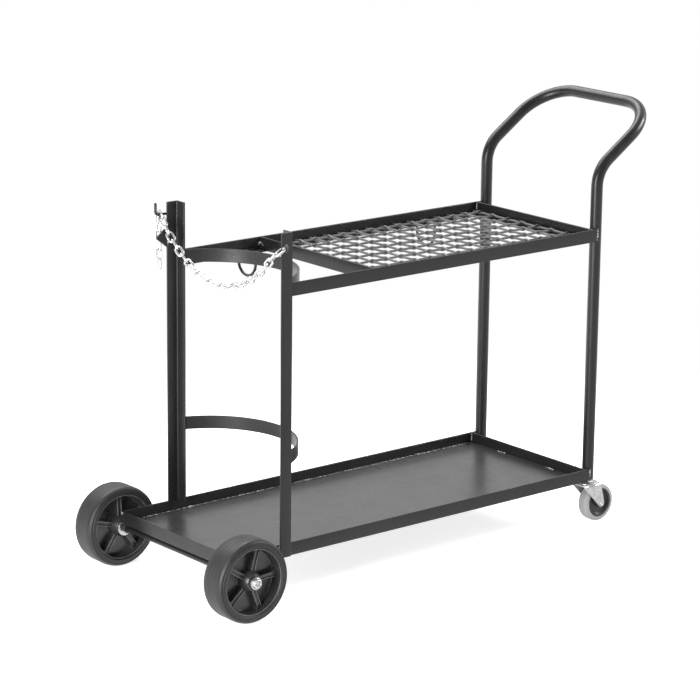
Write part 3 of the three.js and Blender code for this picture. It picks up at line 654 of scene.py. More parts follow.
def add_bands():
    """Flat bar rolled to an arc, flat against the posts' cross legs."""
    half_span = POST_OUTSIDE - LEG + BAND_LAP
    for level in ("upper", "lower"):
        low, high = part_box(f"cylinder_band_{level}")
        depth = high.x - POST_HEEL
        radius = (half_span ** 2 + depth ** 2) / (2 * depth)
        center = Vector((high.x - radius, 0, low.z))
        chord = POST_HEEL - center.x
        steps = 64
        outline = []
        for size, order in ((radius, 1), (radius - BAND_THICKNESS, -1)):
            reach = math.acos(chord / size)
            angles = [reach * (2 * step / steps - 1) * order for step in range(steps + 1)]
            outline += [Vector((size * math.cos(angle), size * math.sin(angle))) for angle in angles]
        bm = bmesh.new()
        prism(bm, outline, center, ALONG, ACROSS, UP * (high.z - low.z))
        make(f"band_{level}_bar", bm, "powder_coat", "frame", f"cylinder_band_{level}", edge=BAND_EDGE)


def add_cable_hooks():
    for place in ("wheel_end", "handle_end"):
        low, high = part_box(f"cable_hook_{place}")
        x = (low.x + high.x) / 2
        root = HALF_WIDTH + CABLE_HOOK_WIRE
        tip = high.y - CABLE_HOOK_WIRE
        bend = (tip - root) / 2
        bottom = low.z + CABLE_HOOK_WIRE
        corners = [
            Vector((x, root, SHELF_TOP - 2 * MM)),
            Vector((x, root, bottom)),
            Vector((x, tip, bottom)),
            Vector((x, tip, bottom + 2 * bend + 2 * MM)),
        ]
        route = rounded_route(corners, (bend * 0.999, bend * 0.999))
        bm = bmesh.new()
        round_bar(bm, route, CABLE_HOOK_WIRE)
        make(f"cable_hook_{place}_bar", bm, "powder_coat", "frame", f"cable_hook_{place}")


def add_chain_hook():
    low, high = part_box("chain_hook")
    bend_x = low.x + CHAIN_HOOK_WIRE
    corners = [
        Vector((high.x, HOOK_BAR.y, HOOK_BAR.z)),
        Vector((bend_x, HOOK_BAR.y, HOOK_BAR.z)),
        Vector((bend_x, HOOK_BAR.y, high.z)),
    ]
    bm = bmesh.new()
    round_bar(bm, rounded_route(corners, (CHAIN_HOOK_BEND,)), CHAIN_HOOK_WIRE + CHAIN_HOOK_SKIN)
    make("chain_hook_bar", bm, "powder_coat", "frame", "chain_hook")


def add_tab():
    low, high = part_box("post_tab")
    middle = (low.z + high.z) / 2
    outline = rounded([
        (high.x, low.z, 1 * MM),
        (high.x, high.z, 1 * MM),
        (low.x, middle, 2 * MM),
    ])
    bm = bmesh.new()
    prism(bm, outline, ACROSS * low.y, ALONG, UP, ACROSS * (high.y - low.y))
    make("post_tab_plate", bm, "powder_coat", "frame", "post_tab", edge=EDGE_RADIUS)


# Shelf mesh


def even_places(low, high, pitch):
    count = max(2, math.floor((high - low) / pitch + 1e-6) + 1)
    first = (low + high - (count - 1) * pitch) / 2
    return [first + index * pitch for index in range(count)]


def add_shelf_mesh():
    """Wires woven over and under, straight but for a tight crimp at each crossing."""
    low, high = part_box("shelf_mesh")
    xs = even_places(low.x + MESH_ROW_INSET, high.x - MESH_ROW_INSET, MESH_PITCH_ALONG)
    ys = even_places(low.y + MESH_ROW_INSET, high.y - MESH_ROW_INSET, MESH_PITCH_ACROSS)
    middle = SHELF_BOTTOM + WALL + MESH_CRIMP + MESH_WIRE
    steps_per_pitch = 20
    bm = bmesh.new()

    def wire(start, stop, first, pitch, sign, spot):
        count = math.ceil((stop - start) / pitch * steps_per_pitch)
        path = []
        for step in range(count + 1):
            distance = start + (stop - start) * step / count
            swing = math.cos(math.pi * (distance - first) / pitch)
            crimp = MESH_CRIMP * math.copysign(abs(swing) ** MESH_CRIMP_POWER, swing)
            path.append(spot(distance, middle + sign * crimp))
        round_bar(bm, path, MESH_WIRE, 10)

    for row, y in enumerate(ys):
        sign = 1 if row % 2 == 0 else -1
        wire(low.x, high.x, xs[0], MESH_PITCH_ALONG, sign, lambda d, z: Vector((d, y, z)))
    for column, x in enumerate(xs):
        sign = -1 if column % 2 == 0 else 1
        wire(low.y, high.y, ys[0], MESH_PITCH_ACROSS, sign, lambda d, z: Vector((x, d, z)))
    # The wires take the lightened coat: painted sheen.
    make("shelf_mesh_wires", bm, "mesh_coat", "frame", "shelf_mesh")


# Chain


class HangingCurve:
    """A hanging curve of set length between two points, by arc length from the first."""

    def __init__(self, start, end, length):
        self.start = start
        level = Vector((end.x - start.x, end.y - start.y, 0))
        span = level.length
        rise = end.z - start.z
        self.level = level.normalized()
        target = math.sqrt(length * length - rise * rise)
        low = span / 50
        high = span * 50
        for _ in range(80):
            guess = math.sqrt(low * high)
            if 2 * guess * math.sinh(span / (2 * guess)) > target:
                low = guess
            else:
                high = guess
        self.scale = math.sqrt(low * high)
        self.lowest = (span - self.scale * math.log((length + rise) / (length - rise))) / 2

    def offset(self, distance):
        begin = math.sinh(-self.lowest / self.scale)
        return self.lowest + self.scale * math.asinh(distance / self.scale + begin)

    def place(self, distance):
        run = self.offset(distance)
        height = self.scale * math.cosh((run - self.lowest) / self.scale)
        base = self.scale * math.cosh(-self.lowest / self.scale)
        return self.start + self.level * run + UP * (height - base)

    def direction(self, distance):
        slope = math.sinh((self.offset(distance) - self.lowest) / self.scale)
        return (self.level + UP * slope).normalized()


CHAIN_HOLE = Vector((
    POST_EDGE + CHAIN_HOLE_EDGE,
    -HALF_WIDTH - WALL / 2,
    POST_TOP - CHAIN_HOLE_DROP,
))
HOOK_BAR = Vector((
    0,
    sum(corner.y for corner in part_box("chain_hook")) / 2,
    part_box("chain_hook")[0].z + CHAIN_HOOK_WIRE,
))


def solve_chain():
    """The link through the post, the hanging span and the link on the hook, as the solids have them."""
    post_long = Vector((-math.cos(CHAIN_POST_TILT), 0, -math.sin(CHAIN_POST_TILT)))
    post_pivot = CHAIN_HOLE + post_long * CHAIN_PIVOT_SHIFT
    post_end = post_pivot + post_long * (2 * LINK_HALF_LENGTH)
    hook_bar = Vector((post_end.x, HOOK_BAR.y, HOOK_BAR.z))
    length = SPAN_LINKS * LINK_PITCH
    wire_step = LINK_HALF_LENGTH - LINK_PITCH / 2
    stack = 2 * LINK_WIRE - LINK_BITE
    bar_rest = LINK_HALF_WIDTH - LINK_WIRE - CHAIN_HOOK_WIRE - CHAIN_SEAT
    start_way = Vector((0, 1, -1)).normalized()
    end_way = Vector((0, 1, 1)).normalized()
    for _ in range(12):
        hook_across = ALONG.cross(end_way).normalized()
        hook_center = hook_bar - hook_across * bar_rest + end_way * CHAIN_HOOK_SHIFT
        hook_end = hook_center - end_way * (LINK_HALF_LENGTH - 2 * LINK_WIRE - LINK_PLAY)
        first = post_end + UP * stack + start_way * wire_step
        last = hook_end - end_way * wire_step
        curve = HangingCurve(first, last, length)
        start_way = curve.direction(0)
        end_way = curve.direction(length)
    hook_across = ALONG.cross(end_way).normalized()
    return post_long, post_pivot, curve, hook_center, end_way, hook_across


def add_link(bm, center, long, across):
    """One welded link: a loop of round wire, with the weld's swelling on one side."""
    side = (across - long * across.dot(long)).normalized()
    straight = LINK_HALF_LENGTH - LINK_HALF_WIDTH
    arc_steps = 9
    flat = []
    for end, begin in ((1, -math.pi / 2), (-1, math.pi / 2)):
        for step in range(arc_steps + 1):
            angle = begin + math.pi * step / arc_steps
            flat.append((end * straight + LINK_HALF_WIDTH * math.cos(angle), LINK_HALF_WIDTH * math.sin(angle)))
    weld = [(-along * straight, -LINK_HALF_WIDTH) for along in (0.5, 0.2, 0.0, -0.2, -0.5)]
    path = [center + long * u + side * v for u, v in flat + weld]
    scales = [1.0] * len(flat) + [1.0, 1.12, 1.18, 1.12, 1.0]
    sweep(bm, path, circle(LINK_WIRE, LINK_SIDES), looped=True, scales=scales)


def add_chain():
    post_long, post_pivot, curve, hook_center, hook_long, hook_across = solve_chain()
    span = bmesh.new()
    add_link(span, post_pivot + post_long * LINK_HALF_LENGTH, post_long, ACROSS)
    level = curve.level.cross(UP)
    for index in range(SPAN_LINKS):
        distance = (index + 0.5) * LINK_PITCH
        long = curve.direction(distance)
        across = level if index % 2 == 0 else level.cross(long)
        share = min(1.0, (min(index, SPAN_LINKS - 1 - index) + 1) / TWIST_LINKS)
        add_link(span, curve.place(distance), long, Matrix.Rotation(LINK_TWIST * share, 3, long) @ across)
    make("chain_span_links", span, "chain_zinc", "chain_span", "chain_span")
    hooked = bmesh.new()
    add_link(hooked, hook_center, hook_long, hook_across)
    make("chain_hooked_link", hooked, "chain_zinc", "frame", "chain_hook_link")
    pivot = joints["chain_tail_swing"]
    tail = bmesh.new()
    for index in range(TAIL_LINKS):
        center = pivot - UP * (LINK_HALF_LENGTH + index * LINK_PITCH)
        add_link(tail, center, -UP, ALONG if index % 2 == 0 else ACROSS)
    make("chain_tail_links", tail, "chain_zinc", "chain_tail", "chain_tail")


# Axle and main wheels


def add_axle():
    low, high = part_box("axle")
    center = Vector((joints["wheel_near_roll"].x, 0, WHEEL_RADIUS))
    bm = bmesh.new()
    outline = rounded([(0, low.y, 0), (AXLE_RADIUS, low.y, MM), (AXLE_RADIUS, high.y, MM), (0, high.y, 0)])
    lathe(bm, outline, center, ACROSS, SMALL_SEGMENTS)
    make("axle_rod", bm, "powder_coat", "frame", "axle", sharp=50)
    for name, side in SIDES.items():
        for place in ("inner", "outer"):
            add_washer(f"axle_washer_{place}_{name}", center, WASHER_LIPS[place])
        add_cap(name, side, center)
        add_axle_plate(name, center)


def add_axle_plate(name, center):
    """The plate that holds the axle under the side rim, rounded about the axle."""
    low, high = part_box(f"axle_plate_{name}")
    top = high.z - center.z
    reach = high.x - center.x
    back = center.x - WHEEL_END
    begin = math.acos(-back / AXLE_PLATE_END)
    end = 2 * math.pi + math.atan2(top, reach) - math.acos(AXLE_PLATE_END / math.hypot(top, reach))
    turns = [begin + (end - begin) * step / 24 for step in range(25)]
    outline = [Vector((reach, top)), Vector((-back, top))]
    outline += [Vector((AXLE_PLATE_END * math.cos(turn), AXLE_PLATE_END * math.sin(turn))) for turn in turns]
    bm = bmesh.new()
    prism(bm, outline, Vector((center.x, low.y, center.z)), ALONG, UP, ACROSS * (high.y - low.y))
    make(f"axle_plate_{name}_steel", bm, "powder_coat", "frame", f"axle_plate_{name}", edge=EDGE_RADIUS)


def add_washer(node, center, lip):
    low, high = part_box(node)
    radius = high.x - center.x + lip
    outline = rounded([
        (AXLE_RADIUS, low.y, 0.2 * MM),
        (radius, low.y, 0.7 * MM),
        (radius, high.y, 0.7 * MM),
        (AXLE_RADIUS, high.y, 0.2 * MM),
    ])
    bm = bmesh.new()
    lathe(bm, outline, center, ACROSS, SMALL_SEGMENTS)
    make(f"{node}_disc", bm, "zinc", "frame", node, sharp=50)


def add_cap(name, side, center):
    """A pressed cap whose crown is gathered in petals round a dimple."""
    low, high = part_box(f"axle_cap_{name}")
    seat = side * min(abs(low.y), abs(high.y))
    height = high.y - low.y
    radius = high.x - center.x
    petals = 8
    profile = [
        (1.18, 0.00, 0), (1.22, 0.06, 0), (1.20, 0.14, 0), (1.02, 0.20, 0), (0.98, 0.30, 0), (0.95, 0.55, 0.2),
        (0.86, 0.78, 0.7), (0.70, 0.93, 1.0), (0.52, 1.00, 1.0), (0.36, 0.98, 0.6), (0.24, 0.88, 0.1), (0.0, 0.84, 0),
    ]
    segments = petals * 12
    rings = []
    for segment in range(segments):
        turn = 2 * math.pi * segment / segments
        radial = ALONG * math.cos(turn) + UP * math.sin(turn)
        fold = abs(math.sin(petals * turn / 2)) ** 0.6 - 1
        ring = [center + ACROSS * seat]
        for size, lift, share in profile:
            rise = height * (lift + 0.22 * fold * share)
            ring.append(center + radial * (size * radius) + ACROSS * (seat + side * rise))
        rings.append(ring)
    bm = bmesh.new()
    loft(bm, rings, looped=True)
    make(f"axle_cap_{name}_dome", bm, "zinc", "frame", f"axle_cap_{name}", sharp=50)


def tyre_outline():
    """Half of the tyre's section: seat, lip, groove, shoulder and tread lines; then mirrored."""
    half = WHEEL_HALF
    top = WHEEL_RADIUS
    side = [
        (WHEEL_SEAT, half - 2.2 * MM, 0.4 * MM),
        (WHEEL_SEAT + 1.6 * MM, half, 0.8 * MM),
        (top - 7.9 * MM, half, 0.5 * MM),
        (top - 7.3 * MM, half - 1.1 * MM, 0.3 * MM),
        (top - 6.2 * MM, half - 1.1 * MM, 0.3 * MM),
        (top - 5.5 * MM, half - 0.4 * MM, 0.5 * MM),
        (top - 3.4 * MM, half - 1.3 * MM, 1.6 * MM),
        (top - 0.9 * MM, half - 5.4 * MM, 4.0 * MM),
        (top, half - 10.5 * MM, 5.0 * MM),
    ]
    lines = []
    for line in (14.5, 5.0):
        lines += [
            (top, (line + 0.7) * MM, 0.15 * MM),
            (top - 0.3 * MM, (line + 0.3) * MM, 0.1 * MM),
            (top - 0.3 * MM, (line - 0.3) * MM, 0.1 * MM),
            (top, (line - 0.7) * MM, 0.15 * MM),
        ]
    upper = side + lines
    lower = [(radius, -height, size) for radius, height, size in reversed(upper)]
    return rounded(upper + lower, 3)


def hub_outline():
    """The dished hub's section: rim, stepped wall, web and boss; then mirrored."""
    rim = WHEEL_HALF - 2.6 * MM
    boss = WHEEL_HALF
    upper = [
        (AXLE_RADIUS + 0.3 * MM, boss, 0.3 * MM),
        (WHEEL_BOSS - 4 * MM, boss, 1.2 * MM),
        (WHEEL_BOSS, RIB_TOP + 2 * MM, 1.5 * MM),
        (WHEEL_BOSS + 1.5 * MM, WHEEL_WEB, 2.5 * MM),
        (WHEEL_CAVITY - 2 * MM, WHEEL_WEB, 3.0 * MM),
        (WHEEL_CAVITY - 0.8 * MM, RIB_TOP, 0.5 * MM),
        (WHEEL_CAVITY, rim, 0.6 * MM),
        (WHEEL_SEAT - 0.1 * MM, rim, 0.4 * MM),
    ]
    lower = [(radius, -height, size) for radius, height, size in reversed(upper)]
    return rounded(upper + lower, 3)


def add_rib(bm, center, angle):
    """A rib from boss to rim: channelled top, flared where it meets the rim."""
    long = ALONG * math.cos(angle) + UP * math.sin(angle)
    wide = long.cross(ACROSS)
    face = [
        (-RIB_HALF, RIB_TOP, 0.6 * MM),
        (-RIB_GROOVE_HALF, RIB_TOP, 0.4 * MM),
        (-RIB_GROOVE_HALF, RIB_TOP - RIB_GROOVE_DEPTH, 0.3 * MM),
        (RIB_GROOVE_HALF, RIB_TOP - RIB_GROOVE_DEPTH, 0.3 * MM),
        (RIB_GROOVE_HALF, RIB_TOP, 0.4 * MM),
        (RIB_HALF, RIB_TOP, 0.6 * MM),
    ]
    section = rounded(face + [(-u, -v, radius) for u, v, radius in face], 2)
    flares = [(12, 1.0), (8, 1.1), (5, 1.35), (2.5, 1.75), (-0.4, 2.3)]
    stations = [(WHEEL_BOSS - 2 * MM, 1.1), (WHEEL_BOSS + 6 * MM, 1.0)]
    stations += [(WHEEL_CAVITY - short * MM, spread) for short, spread in flares]
    rings = []
    for reach, spread in stations:
        foot = center + long * reach
        rings.append([foot + wide * (spot.x * spread) + ACROSS * spot.y for spot in section])
    loft(bm, rings)


def add_rib_edges(bm, center, angle):
    """Light rods along the top edges of a rib, on both faces of the hub: painted highlights."""
    edge_middle = (RIB_HALF + RIB_GROOVE_HALF) / 2
    long = ALONG * math.cos(angle) + UP * math.sin(angle)
    wide = long.cross(ACROSS)
    for face in (-1, 1):
        for edge in (-1, 1):
            lift = ACROSS * (face * (RIB_TOP - HIGHLIGHT_ROD_RADIUS / 3)) + wide * (edge * edge_middle)
            ends = [center + long * reach + lift for reach in (WHEEL_BOSS + 1 * MM, WHEEL_CAVITY - 7 * MM)]
            round_bar(bm, ends, HIGHLIGHT_ROD_RADIUS, 8)


def add_rim_edges(bm, center):
    """A light ring on the lip of the hub's rim, on both faces: a painted highlight."""
    middle = (WHEEL_CAVITY + WHEEL_SEAT) / 2
    for face in (-1, 1):
        lip = [Vector((middle, face * (WHEEL_HALF - 2.6 * MM))) + spot for spot in circle(HIGHLIGHT_ROD_RADIUS, 8)]
        lathe(bm, lip, center, ACROSS)


def add_wheels():
    for name in SIDES:
        center = joints[f"wheel_{name}_roll"]
        tyre = bmesh.new()
        lathe(tyre, tyre_outline(), center, ACROSS)
        make(f"wheel_{name}_rubber", tyre, "wheel_rubber", f"wheel_{name}", f"wheel_tyre_{name}")
        hub = bmesh.new()
        lathe(hub, hub_outline(), center, ACROSS)
        for rib in range(WHEEL_RIBS):
            add_rib(hub, center, math.radians(WHEEL_RIB_ANGLES[name] + 360 * rib / WHEEL_RIBS))
        make(f"wheel_{name}_centre", hub, "wheel_plastic", f"wheel_{name}", f"wheel_hub_{name}")
        # Rods in the lighter plastic: painted highlights on the rib and rim edges.
        edges = bmesh.new()
        add_rim_edges(edges, center)
        for rib in range(WHEEL_RIBS):
            add_rib_edges(edges, center, math.radians(WHEEL_RIB_ANGLES[name] + 360 * rib / WHEEL_RIBS))
        make(f"wheel_{name}_rib_edges", edges, "wheel_plastic", f"wheel_{name}", finish="plastic_painted_highlight")


# Stem casters


def fork_reach(height):
    """How far the fork's leg runs back and forward of the swivel axis at a height."""
    shoulder = CROWN_TOP - 5 * MM
    if height >= shoulder:
        return -FORK_HALF, FORK_HALF
    reaches = []
    for start, turn in ((-FORK_HALF, math.radians(216)), (FORK_HALF, math.radians(9))):
        touch_x = CASTER_TRAIL + FORK_EYE * math.cos(turn)
        touch_z = CASTER_RADIUS + FORK_EYE * math.sin(turn)
        if height > touch_z:
            share = (height - touch_z) / (shoulder - touch_z)
            reaches.append(touch_x + (start - touch_x) * share)
        else:
            drop = CASTER_RADIUS - height
            way = -1 if start < 0 else 1
            reaches.append(CASTER_TRAIL + way * math.sqrt(max(0.0, FORK_EYE ** 2 - drop ** 2)))
    return reaches[0], reaches[1]


def fork_rows():
    """The folded sheet's middle line across the fork, as (y, z, outward normal)."""
    side = CASTER_HALF + FORK_GAP + FORK_WALL / 2
    top = CROWN_TOP - FORK_WALL / 2
    bend = 4 * MM
    foot = CASTER_RADIUS - FORK_EYE
    eye = [foot + FORK_EYE * (1 - math.cos(math.pi / 2 * step / 8)) + 0.02 * MM for step in range(9)]
    tall = [CASTER_RADIUS + (top - bend - CASTER_RADIUS) * step / 10 for step in range(1, 11)]
    rows = [(-side, height, Vector((0, -1, 0))) for height in eye + tall]
    for step in range(1, 7):
        turn = math.pi / 2 * step / 6
        out = Vector((0, -math.cos(turn), math.sin(turn)))
        rows.append((-side + bend + out.y * bend, top - bend + out.z * bend, out))
    rows += [((-1 + step / 3) * (side - bend), top, Vector((0, 0, 1))) for step in range(1, 4)]
    mirrored = [(-y, z, Vector((0, -out.y, out.z))) for y, z, out in reversed(rows[:-1])]
    return rows + mirrored


def add_fork(name, pivot):
    rings = []
    columns = 10
    for y, z, out in fork_rows():
        back, front = fork_reach(z)
        spots = [Vector((back + (front - back) * step / columns, y, z)) for step in range(columns + 1)]
        outer = [pivot + spot + out * (FORK_WALL / 2) for spot in spots]
        inner = [pivot + spot - out * (FORK_WALL / 2) for spot in spots]
        rings.append(outer + inner[::-1])
    bm = bmesh.new()
    loft(bm, rings)
    race = rounded([
        (6 * MM, CROWN_TOP - 1 * MM, 0),
        (19 * MM, CROWN_TOP - 1 * MM, 0),
        (19 * MM, CROWN_TOP + 0.4 * MM, 0.4 * MM),
        (16.5 * MM, CROWN_TOP + 1.3 * MM, 0.6 * MM),
        (6 * MM, CROWN_TOP + 1.3 * MM, 0),
    ])
    lathe(bm, race, pivot, UP, SMALL_SEGMENTS)
    make(f"caster_{name}_fork_sheet", bm, "zinc", f"caster_{name}", f"caster_fork_{name}", edge=0.4 * MM, sharp=40,
         finish="fork_zinc")


def add_caster_top(name, pivot):
    """The bearing cup, and the stem with its hexagon collar and riveted kingpin."""
    low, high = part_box(f"caster_cup_{name}")
    radius = (high.x - low.x) / 2
    cup = bmesh.new()
    lathe(cup, rounded([
        (5 * MM, high.z - 1.5 * MM, 0),
        (radius - 3.4 * MM, high.z - 1.5 * MM, 0.7 * MM),
        (radius - 1.4 * MM, low.z, 0.3 * MM),
        (radius, low.z, 0.4 * MM),
        (radius - 0.5 * MM, high.z - 1.4 * MM, 1.0 * MM),
        (radius - 4 * MM, high.z, 1.5 * MM),
        (5 * MM, high.z, 0),
    ]), pivot, UP, SMALL_SEGMENTS)
    make(f"caster_{name}_cup_shell", cup, "zinc", "frame", f"caster_cup_{name}", sharp=45)
    nut = bmesh.new()
    hexagon = circle(11.4 * MM, 6)
    bottom = high.z
    height = TUBE_FOOT - bottom
    chamfer = [(0.93, 0.0), (1.0, 0.14), (1.0, 0.86), (0.93, 1.0)]
    rings = []
    for size, lift in chamfer:
        foot = pivot + UP * (bottom + height * lift)
        rings.append([foot + ALONG * (spot.x * size) + ACROSS * (spot.y * size) for spot in hexagon])
    loft(nut, rings)
    rivet_top = CROWN_TOP - FORK_WALL - 0.3 * MM
    lathe(nut, rounded([
        (0, rivet_top - 3 * MM, 0),
        (5 * MM, rivet_top - 3 * MM, 1.5 * MM),
        (8 * MM, rivet_top - 1 * MM, 0.8 * MM),
        (8 * MM, rivet_top, 0.3 * MM),
        (0, rivet_top, 0),
    ]), pivot, UP, SMALL_SEGMENTS)
    make(f"caster_{name}_stem_nut", nut, "zinc", "frame", f"caster_stem_{name}", edge=0.4 * MM, sharp=30)


def add_caster_wheel(name, center):
    tyre = bmesh.new()
    side = [
        (CASTER_SEAT, CASTER_HALF, 0.4 * MM),
        (CASTER_RADIUS - 3.4 * MM, CASTER_HALF, 0.8 * MM),
        (CASTER_RADIUS - 0.9 * MM, CASTER_HALF - 2.0 * MM, 2.0 * MM),
        (CASTER_RADIUS, CASTER_HALF - 6.0 * MM, 3.0 * MM),
    ]
    mirrored = [(radius, -height, size) for radius, height, size in reversed(side)]
    lathe(tyre, rounded(side + mirrored), center, ACROSS, WHEEL_SEGMENTS)
    make(f"caster_{name}_rubber", tyre, "caster_rubber", f"caster_wheel_{name}", f"caster_tyre_{name}")
    hub = bmesh.new()
    low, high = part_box(f"caster_hub_{name}")
    boss = (high.y - low.y) / 2
    side = [
        (3.3 * MM, boss, 0.2 * MM),
        (9.0 * MM, boss, 0.6 * MM),
        (10.2 * MM, 6.6 * MM, 1.2 * MM),
        (23.0 * MM, 6.6 * MM, 1.5 * MM),
        (25.2 * MM, CASTER_HALF - 1.0 * MM, 0.7 * MM),
        (CASTER_SEAT - 0.05 * MM, CASTER_HALF - 1.0 * MM, 0.3 * MM),
    ]
    mirrored = [(radius, -height, size) for radius, height, size in reversed(side)]
    lathe(hub, rounded(side + mirrored), center, ACROSS, WHEEL_SEGMENTS)
    make(f"caster_{name}_centre", hub, "caster_plastic", f"caster_wheel_{name}", f"caster_hub_{name}")
    low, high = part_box(f"caster_bolt_{name}")
    half = (high.y - low.y) / 2
    face = CASTER_HALF + FORK_GAP + FORK_WALL
    end = [
        (0, half - 1.2 * MM, 0),
        (1.6 * MM, half - 1.1 * MM, 0.4 * MM),
        (2.6 * MM, half, 0.5 * MM),
        (4.2 * MM, half - 0.3 * MM, 0.8 * MM),
        (5.0 * MM, face, 0.2 * MM),
        (3.0 * MM, face, 0),
    ]
    mirrored = [(radius, -height, size) for radius, height, size in reversed(end)]
    rivet = bmesh.new()
    lathe(rivet, rounded(end + mirrored), center, ACROSS, 32)
    make(f"caster_{name}_rivet", rivet, "zinc", f"caster_{name}", f"caster_bolt_{name}", sharp=45)


def add_casters():
    for name, side in SIDES.items():
        pivot = Vector((TUBE_X, side * TUBE_Y, 0))
        add_caster_top(name, pivot)
        add_fork(name, pivot)
        add_caster_wheel(name, joints[f"caster_{name}_roll"])


# Welds, painted over with the frame, with painted glints in their colour


def add_bead(bm, start, end, out, size):
    """A rippled fillet bead along a seam, half sunk into the corner; out points from the corner."""
    run = end - start
    ripples = max(2, round(run.length / (1.9 * MM)))
    count = ripples * 3
    way = run.normalized()
    out = (out - way * out.dot(way)).normalized()
    side = way.cross(out)
    rings = []
    sway = chance.uniform(0, 6.28)
    for step in range(count + 1):
        along = step / count
        taper = min(1.0, 0.45 + 6 * min(along, 1 - along))
        ripple = 0.84 + 0.16 * abs(math.sin(math.pi * ripples * along))
        drift = 1 + 0.12 * math.sin(9 * along + sway)
        radius = size * taper * ripple * drift
        spot = start + run * along
        rings.append([spot + out * (corner.x * radius) + side * (corner.y * radius) for corner in circle(1.0, 8)])
    loft(bm, rings)


def add_tack(bm, spot, size):
    """A small lump of weld."""
    rings = []
    levels = 5
    turn = chance.uniform(0, 6.28)
    stretch = chance.uniform(0.8, 1.25)
    for level in range(levels):
        lift = -0.5 + 1.3 * level / (levels - 1)
        radius = size * (0.35, 0.95, 1.0, 0.78, 0.3)[level]
        ring = []
        for corner in circle(radius, 9):
            ring.append(spot + ALONG * corner.x * stretch + ACROSS * corner.y / stretch + UP * (lift * size * 0.8))
        rings.append(ring)
    loft(bm, rings)


def add_frame_welds():
    bm = bmesh.new()
    rise = UP * LEG
    for side in SIDES.values():
        inward = ACROSS * -side
        inside = side * (HALF_WIDTH - WALL)
        for bottom, wheel_end in ((TRAY_BOTTOM, WHEEL_END), (SHELF_BOTTOM, SHELF_START)):
            for x, way in ((wheel_end + WALL, 1), (HANDLE_END - WALL, -1)):
                corner = Vector((x, inside, bottom + WALL + ROOT_RADIUS))
                add_bead(bm, corner, corner + UP * (LEG - WALL - ROOT_RADIUS - MM), ALONG * way + inward, 1.9 * MM)
        for x, way in ((WHEEL_END, -1), (HANDLE_END, 1)):
            corner = Vector((x, inside + side * 0.6 * MM, RIM_TOP - 6 * MM))
            add_bead(bm, corner, corner + UP * (5 * MM), ALONG * way, 1.1 * MM)
        for bottom in (TRAY_BOTTOM, SHELF_BOTTOM):
            seam = Vector((RAIL_STOP + 0.6 * MM, side * (HALF_WIDTH - 0.8 * MM), bottom + 0.5 * MM))
            add_bead(bm, seam, seam + UP * LEG, ALONG + ACROSS * side, 2.1 * MM)
            back = Vector((TUBE_X - TUBE_RADIUS + 0.6 * MM, inside, bottom + WALL))
            add_bead(bm, back, back + UP * (LEG - WALL - MM), -ALONG - ACROSS * side, 1.8 * MM)
        lap = Vector((POST_HEEL, side * HALF_WIDTH, TRAY_BOTTOM + MM))
        add_bead(bm, lap, lap + rise - 2 * MM * UP, ALONG + ACROSS * side, 1.6 * MM)
        lap = Vector((POST_EDGE, side * HALF_WIDTH, TRAY_BOTTOM + MM))
        add_bead(bm, lap, lap + rise - 2 * MM * UP, -ALONG + ACROSS * side, 1.6 * MM)
        foot = Vector((POST_HEEL, side * (HALF_WIDTH - 0.5 * MM), RIM_TOP))
        add_bead(bm, foot, foot + inward * WALL, ALONG + UP, 1.4 * MM)
        joint = Vector((POST_HEEL, inside, SHELF_BOTTOM + WALL + ROOT_RADIUS))
        add_bead(bm, joint, joint + UP * (LEG - WALL - ROOT_RADIUS - MM), ALONG + inward, 1.7 * MM)
        joint = Vector((POST_HEEL, side * HALF_WIDTH, SHELF_BOTTOM + MM))
        add_bead(bm, joint, joint + rise - 2 * MM * UP, ALONG + ACROSS * side, 1.5 * MM)
        for level in ("upper", "lower"):
            low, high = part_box(f"cylinder_band_{level}")
            end = POST_OUTSIDE - LEG + BAND_LAP
            seam = Vector((POST_HEEL, side * (end - BAND_THICKNESS), low.z + MM))
            add_bead(bm, seam, Vector((seam.x, seam.y, high.z - MM)), ALONG + inward, 1.7 * MM)
            seam = Vector((POST_HEEL, side * end, low.z + MM))
            add_bead(bm, seam, Vector((seam.x, seam.y, high.z - MM)), ALONG - inward, 1.5 * MM)
    make("frame_welds", bm, "powder_coat", "frame", sharp=60, finish="weld_coat_painted_glints")


def add_fitting_welds():
    """Beads on the hooks and the tab, and a V of two beads at each wheel-end corner of the shelf."""
    bm = bmesh.new()
    for place in ("wheel_end", "handle_end"):
        low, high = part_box(f"cable_hook_{place}")
        for x, way in ((low.x, -1), (high.x, 1)):
            seam = Vector((x - way * 0.4 * MM, HALF_WIDTH + 0.6 * MM, SHELF_BOTTOM + 2 * MM))
            add_bead(bm, seam, Vector((seam.x, seam.y, SHELF_TOP - 4 * MM)), ALONG * way + ACROSS, 1.5 * MM)
    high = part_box("chain_hook")[1]
    for way in (-1, 1):
        seam = Vector((POST_EDGE + MM, POST_OUTSIDE + 0.6 * MM, HOOK_BAR.z + way * CHAIN_HOOK_WIRE * 0.85))
        add_bead(bm, seam, Vector((high.x - 2 * MM, seam.y, seam.z)), ACROSS + UP * way, 1.3 * MM)
    low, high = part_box("post_tab")
    for y, way in ((low.y, -1), (high.y, 1)):
        seam = Vector((POST_EDGE - 0.2 * MM, y, low.z + 2 * MM))
        add_bead(bm, seam, Vector((seam.x, y, high.z - 2 * MM)), ACROSS * way - ALONG, 1.2 * MM)
    for side in SIDES.values():
        apex = Vector((SHELF_START, side * (HALF_WIDTH - WALL), SHELF_TOP - 9 * MM))
        inward = ACROSS * -side
        add_bead(bm, apex, apex - ALONG * (4 * MM) - UP * (7 * MM), inward, 1.5 * MM)
        add_bead(bm, apex, apex + inward * (11 * MM) - UP * (7 * MM), -ALONG, 1.5 * MM)
    make("fitting_welds", bm, "powder_coat", "frame", sharp=60, finish="weld_coat_painted_glints")


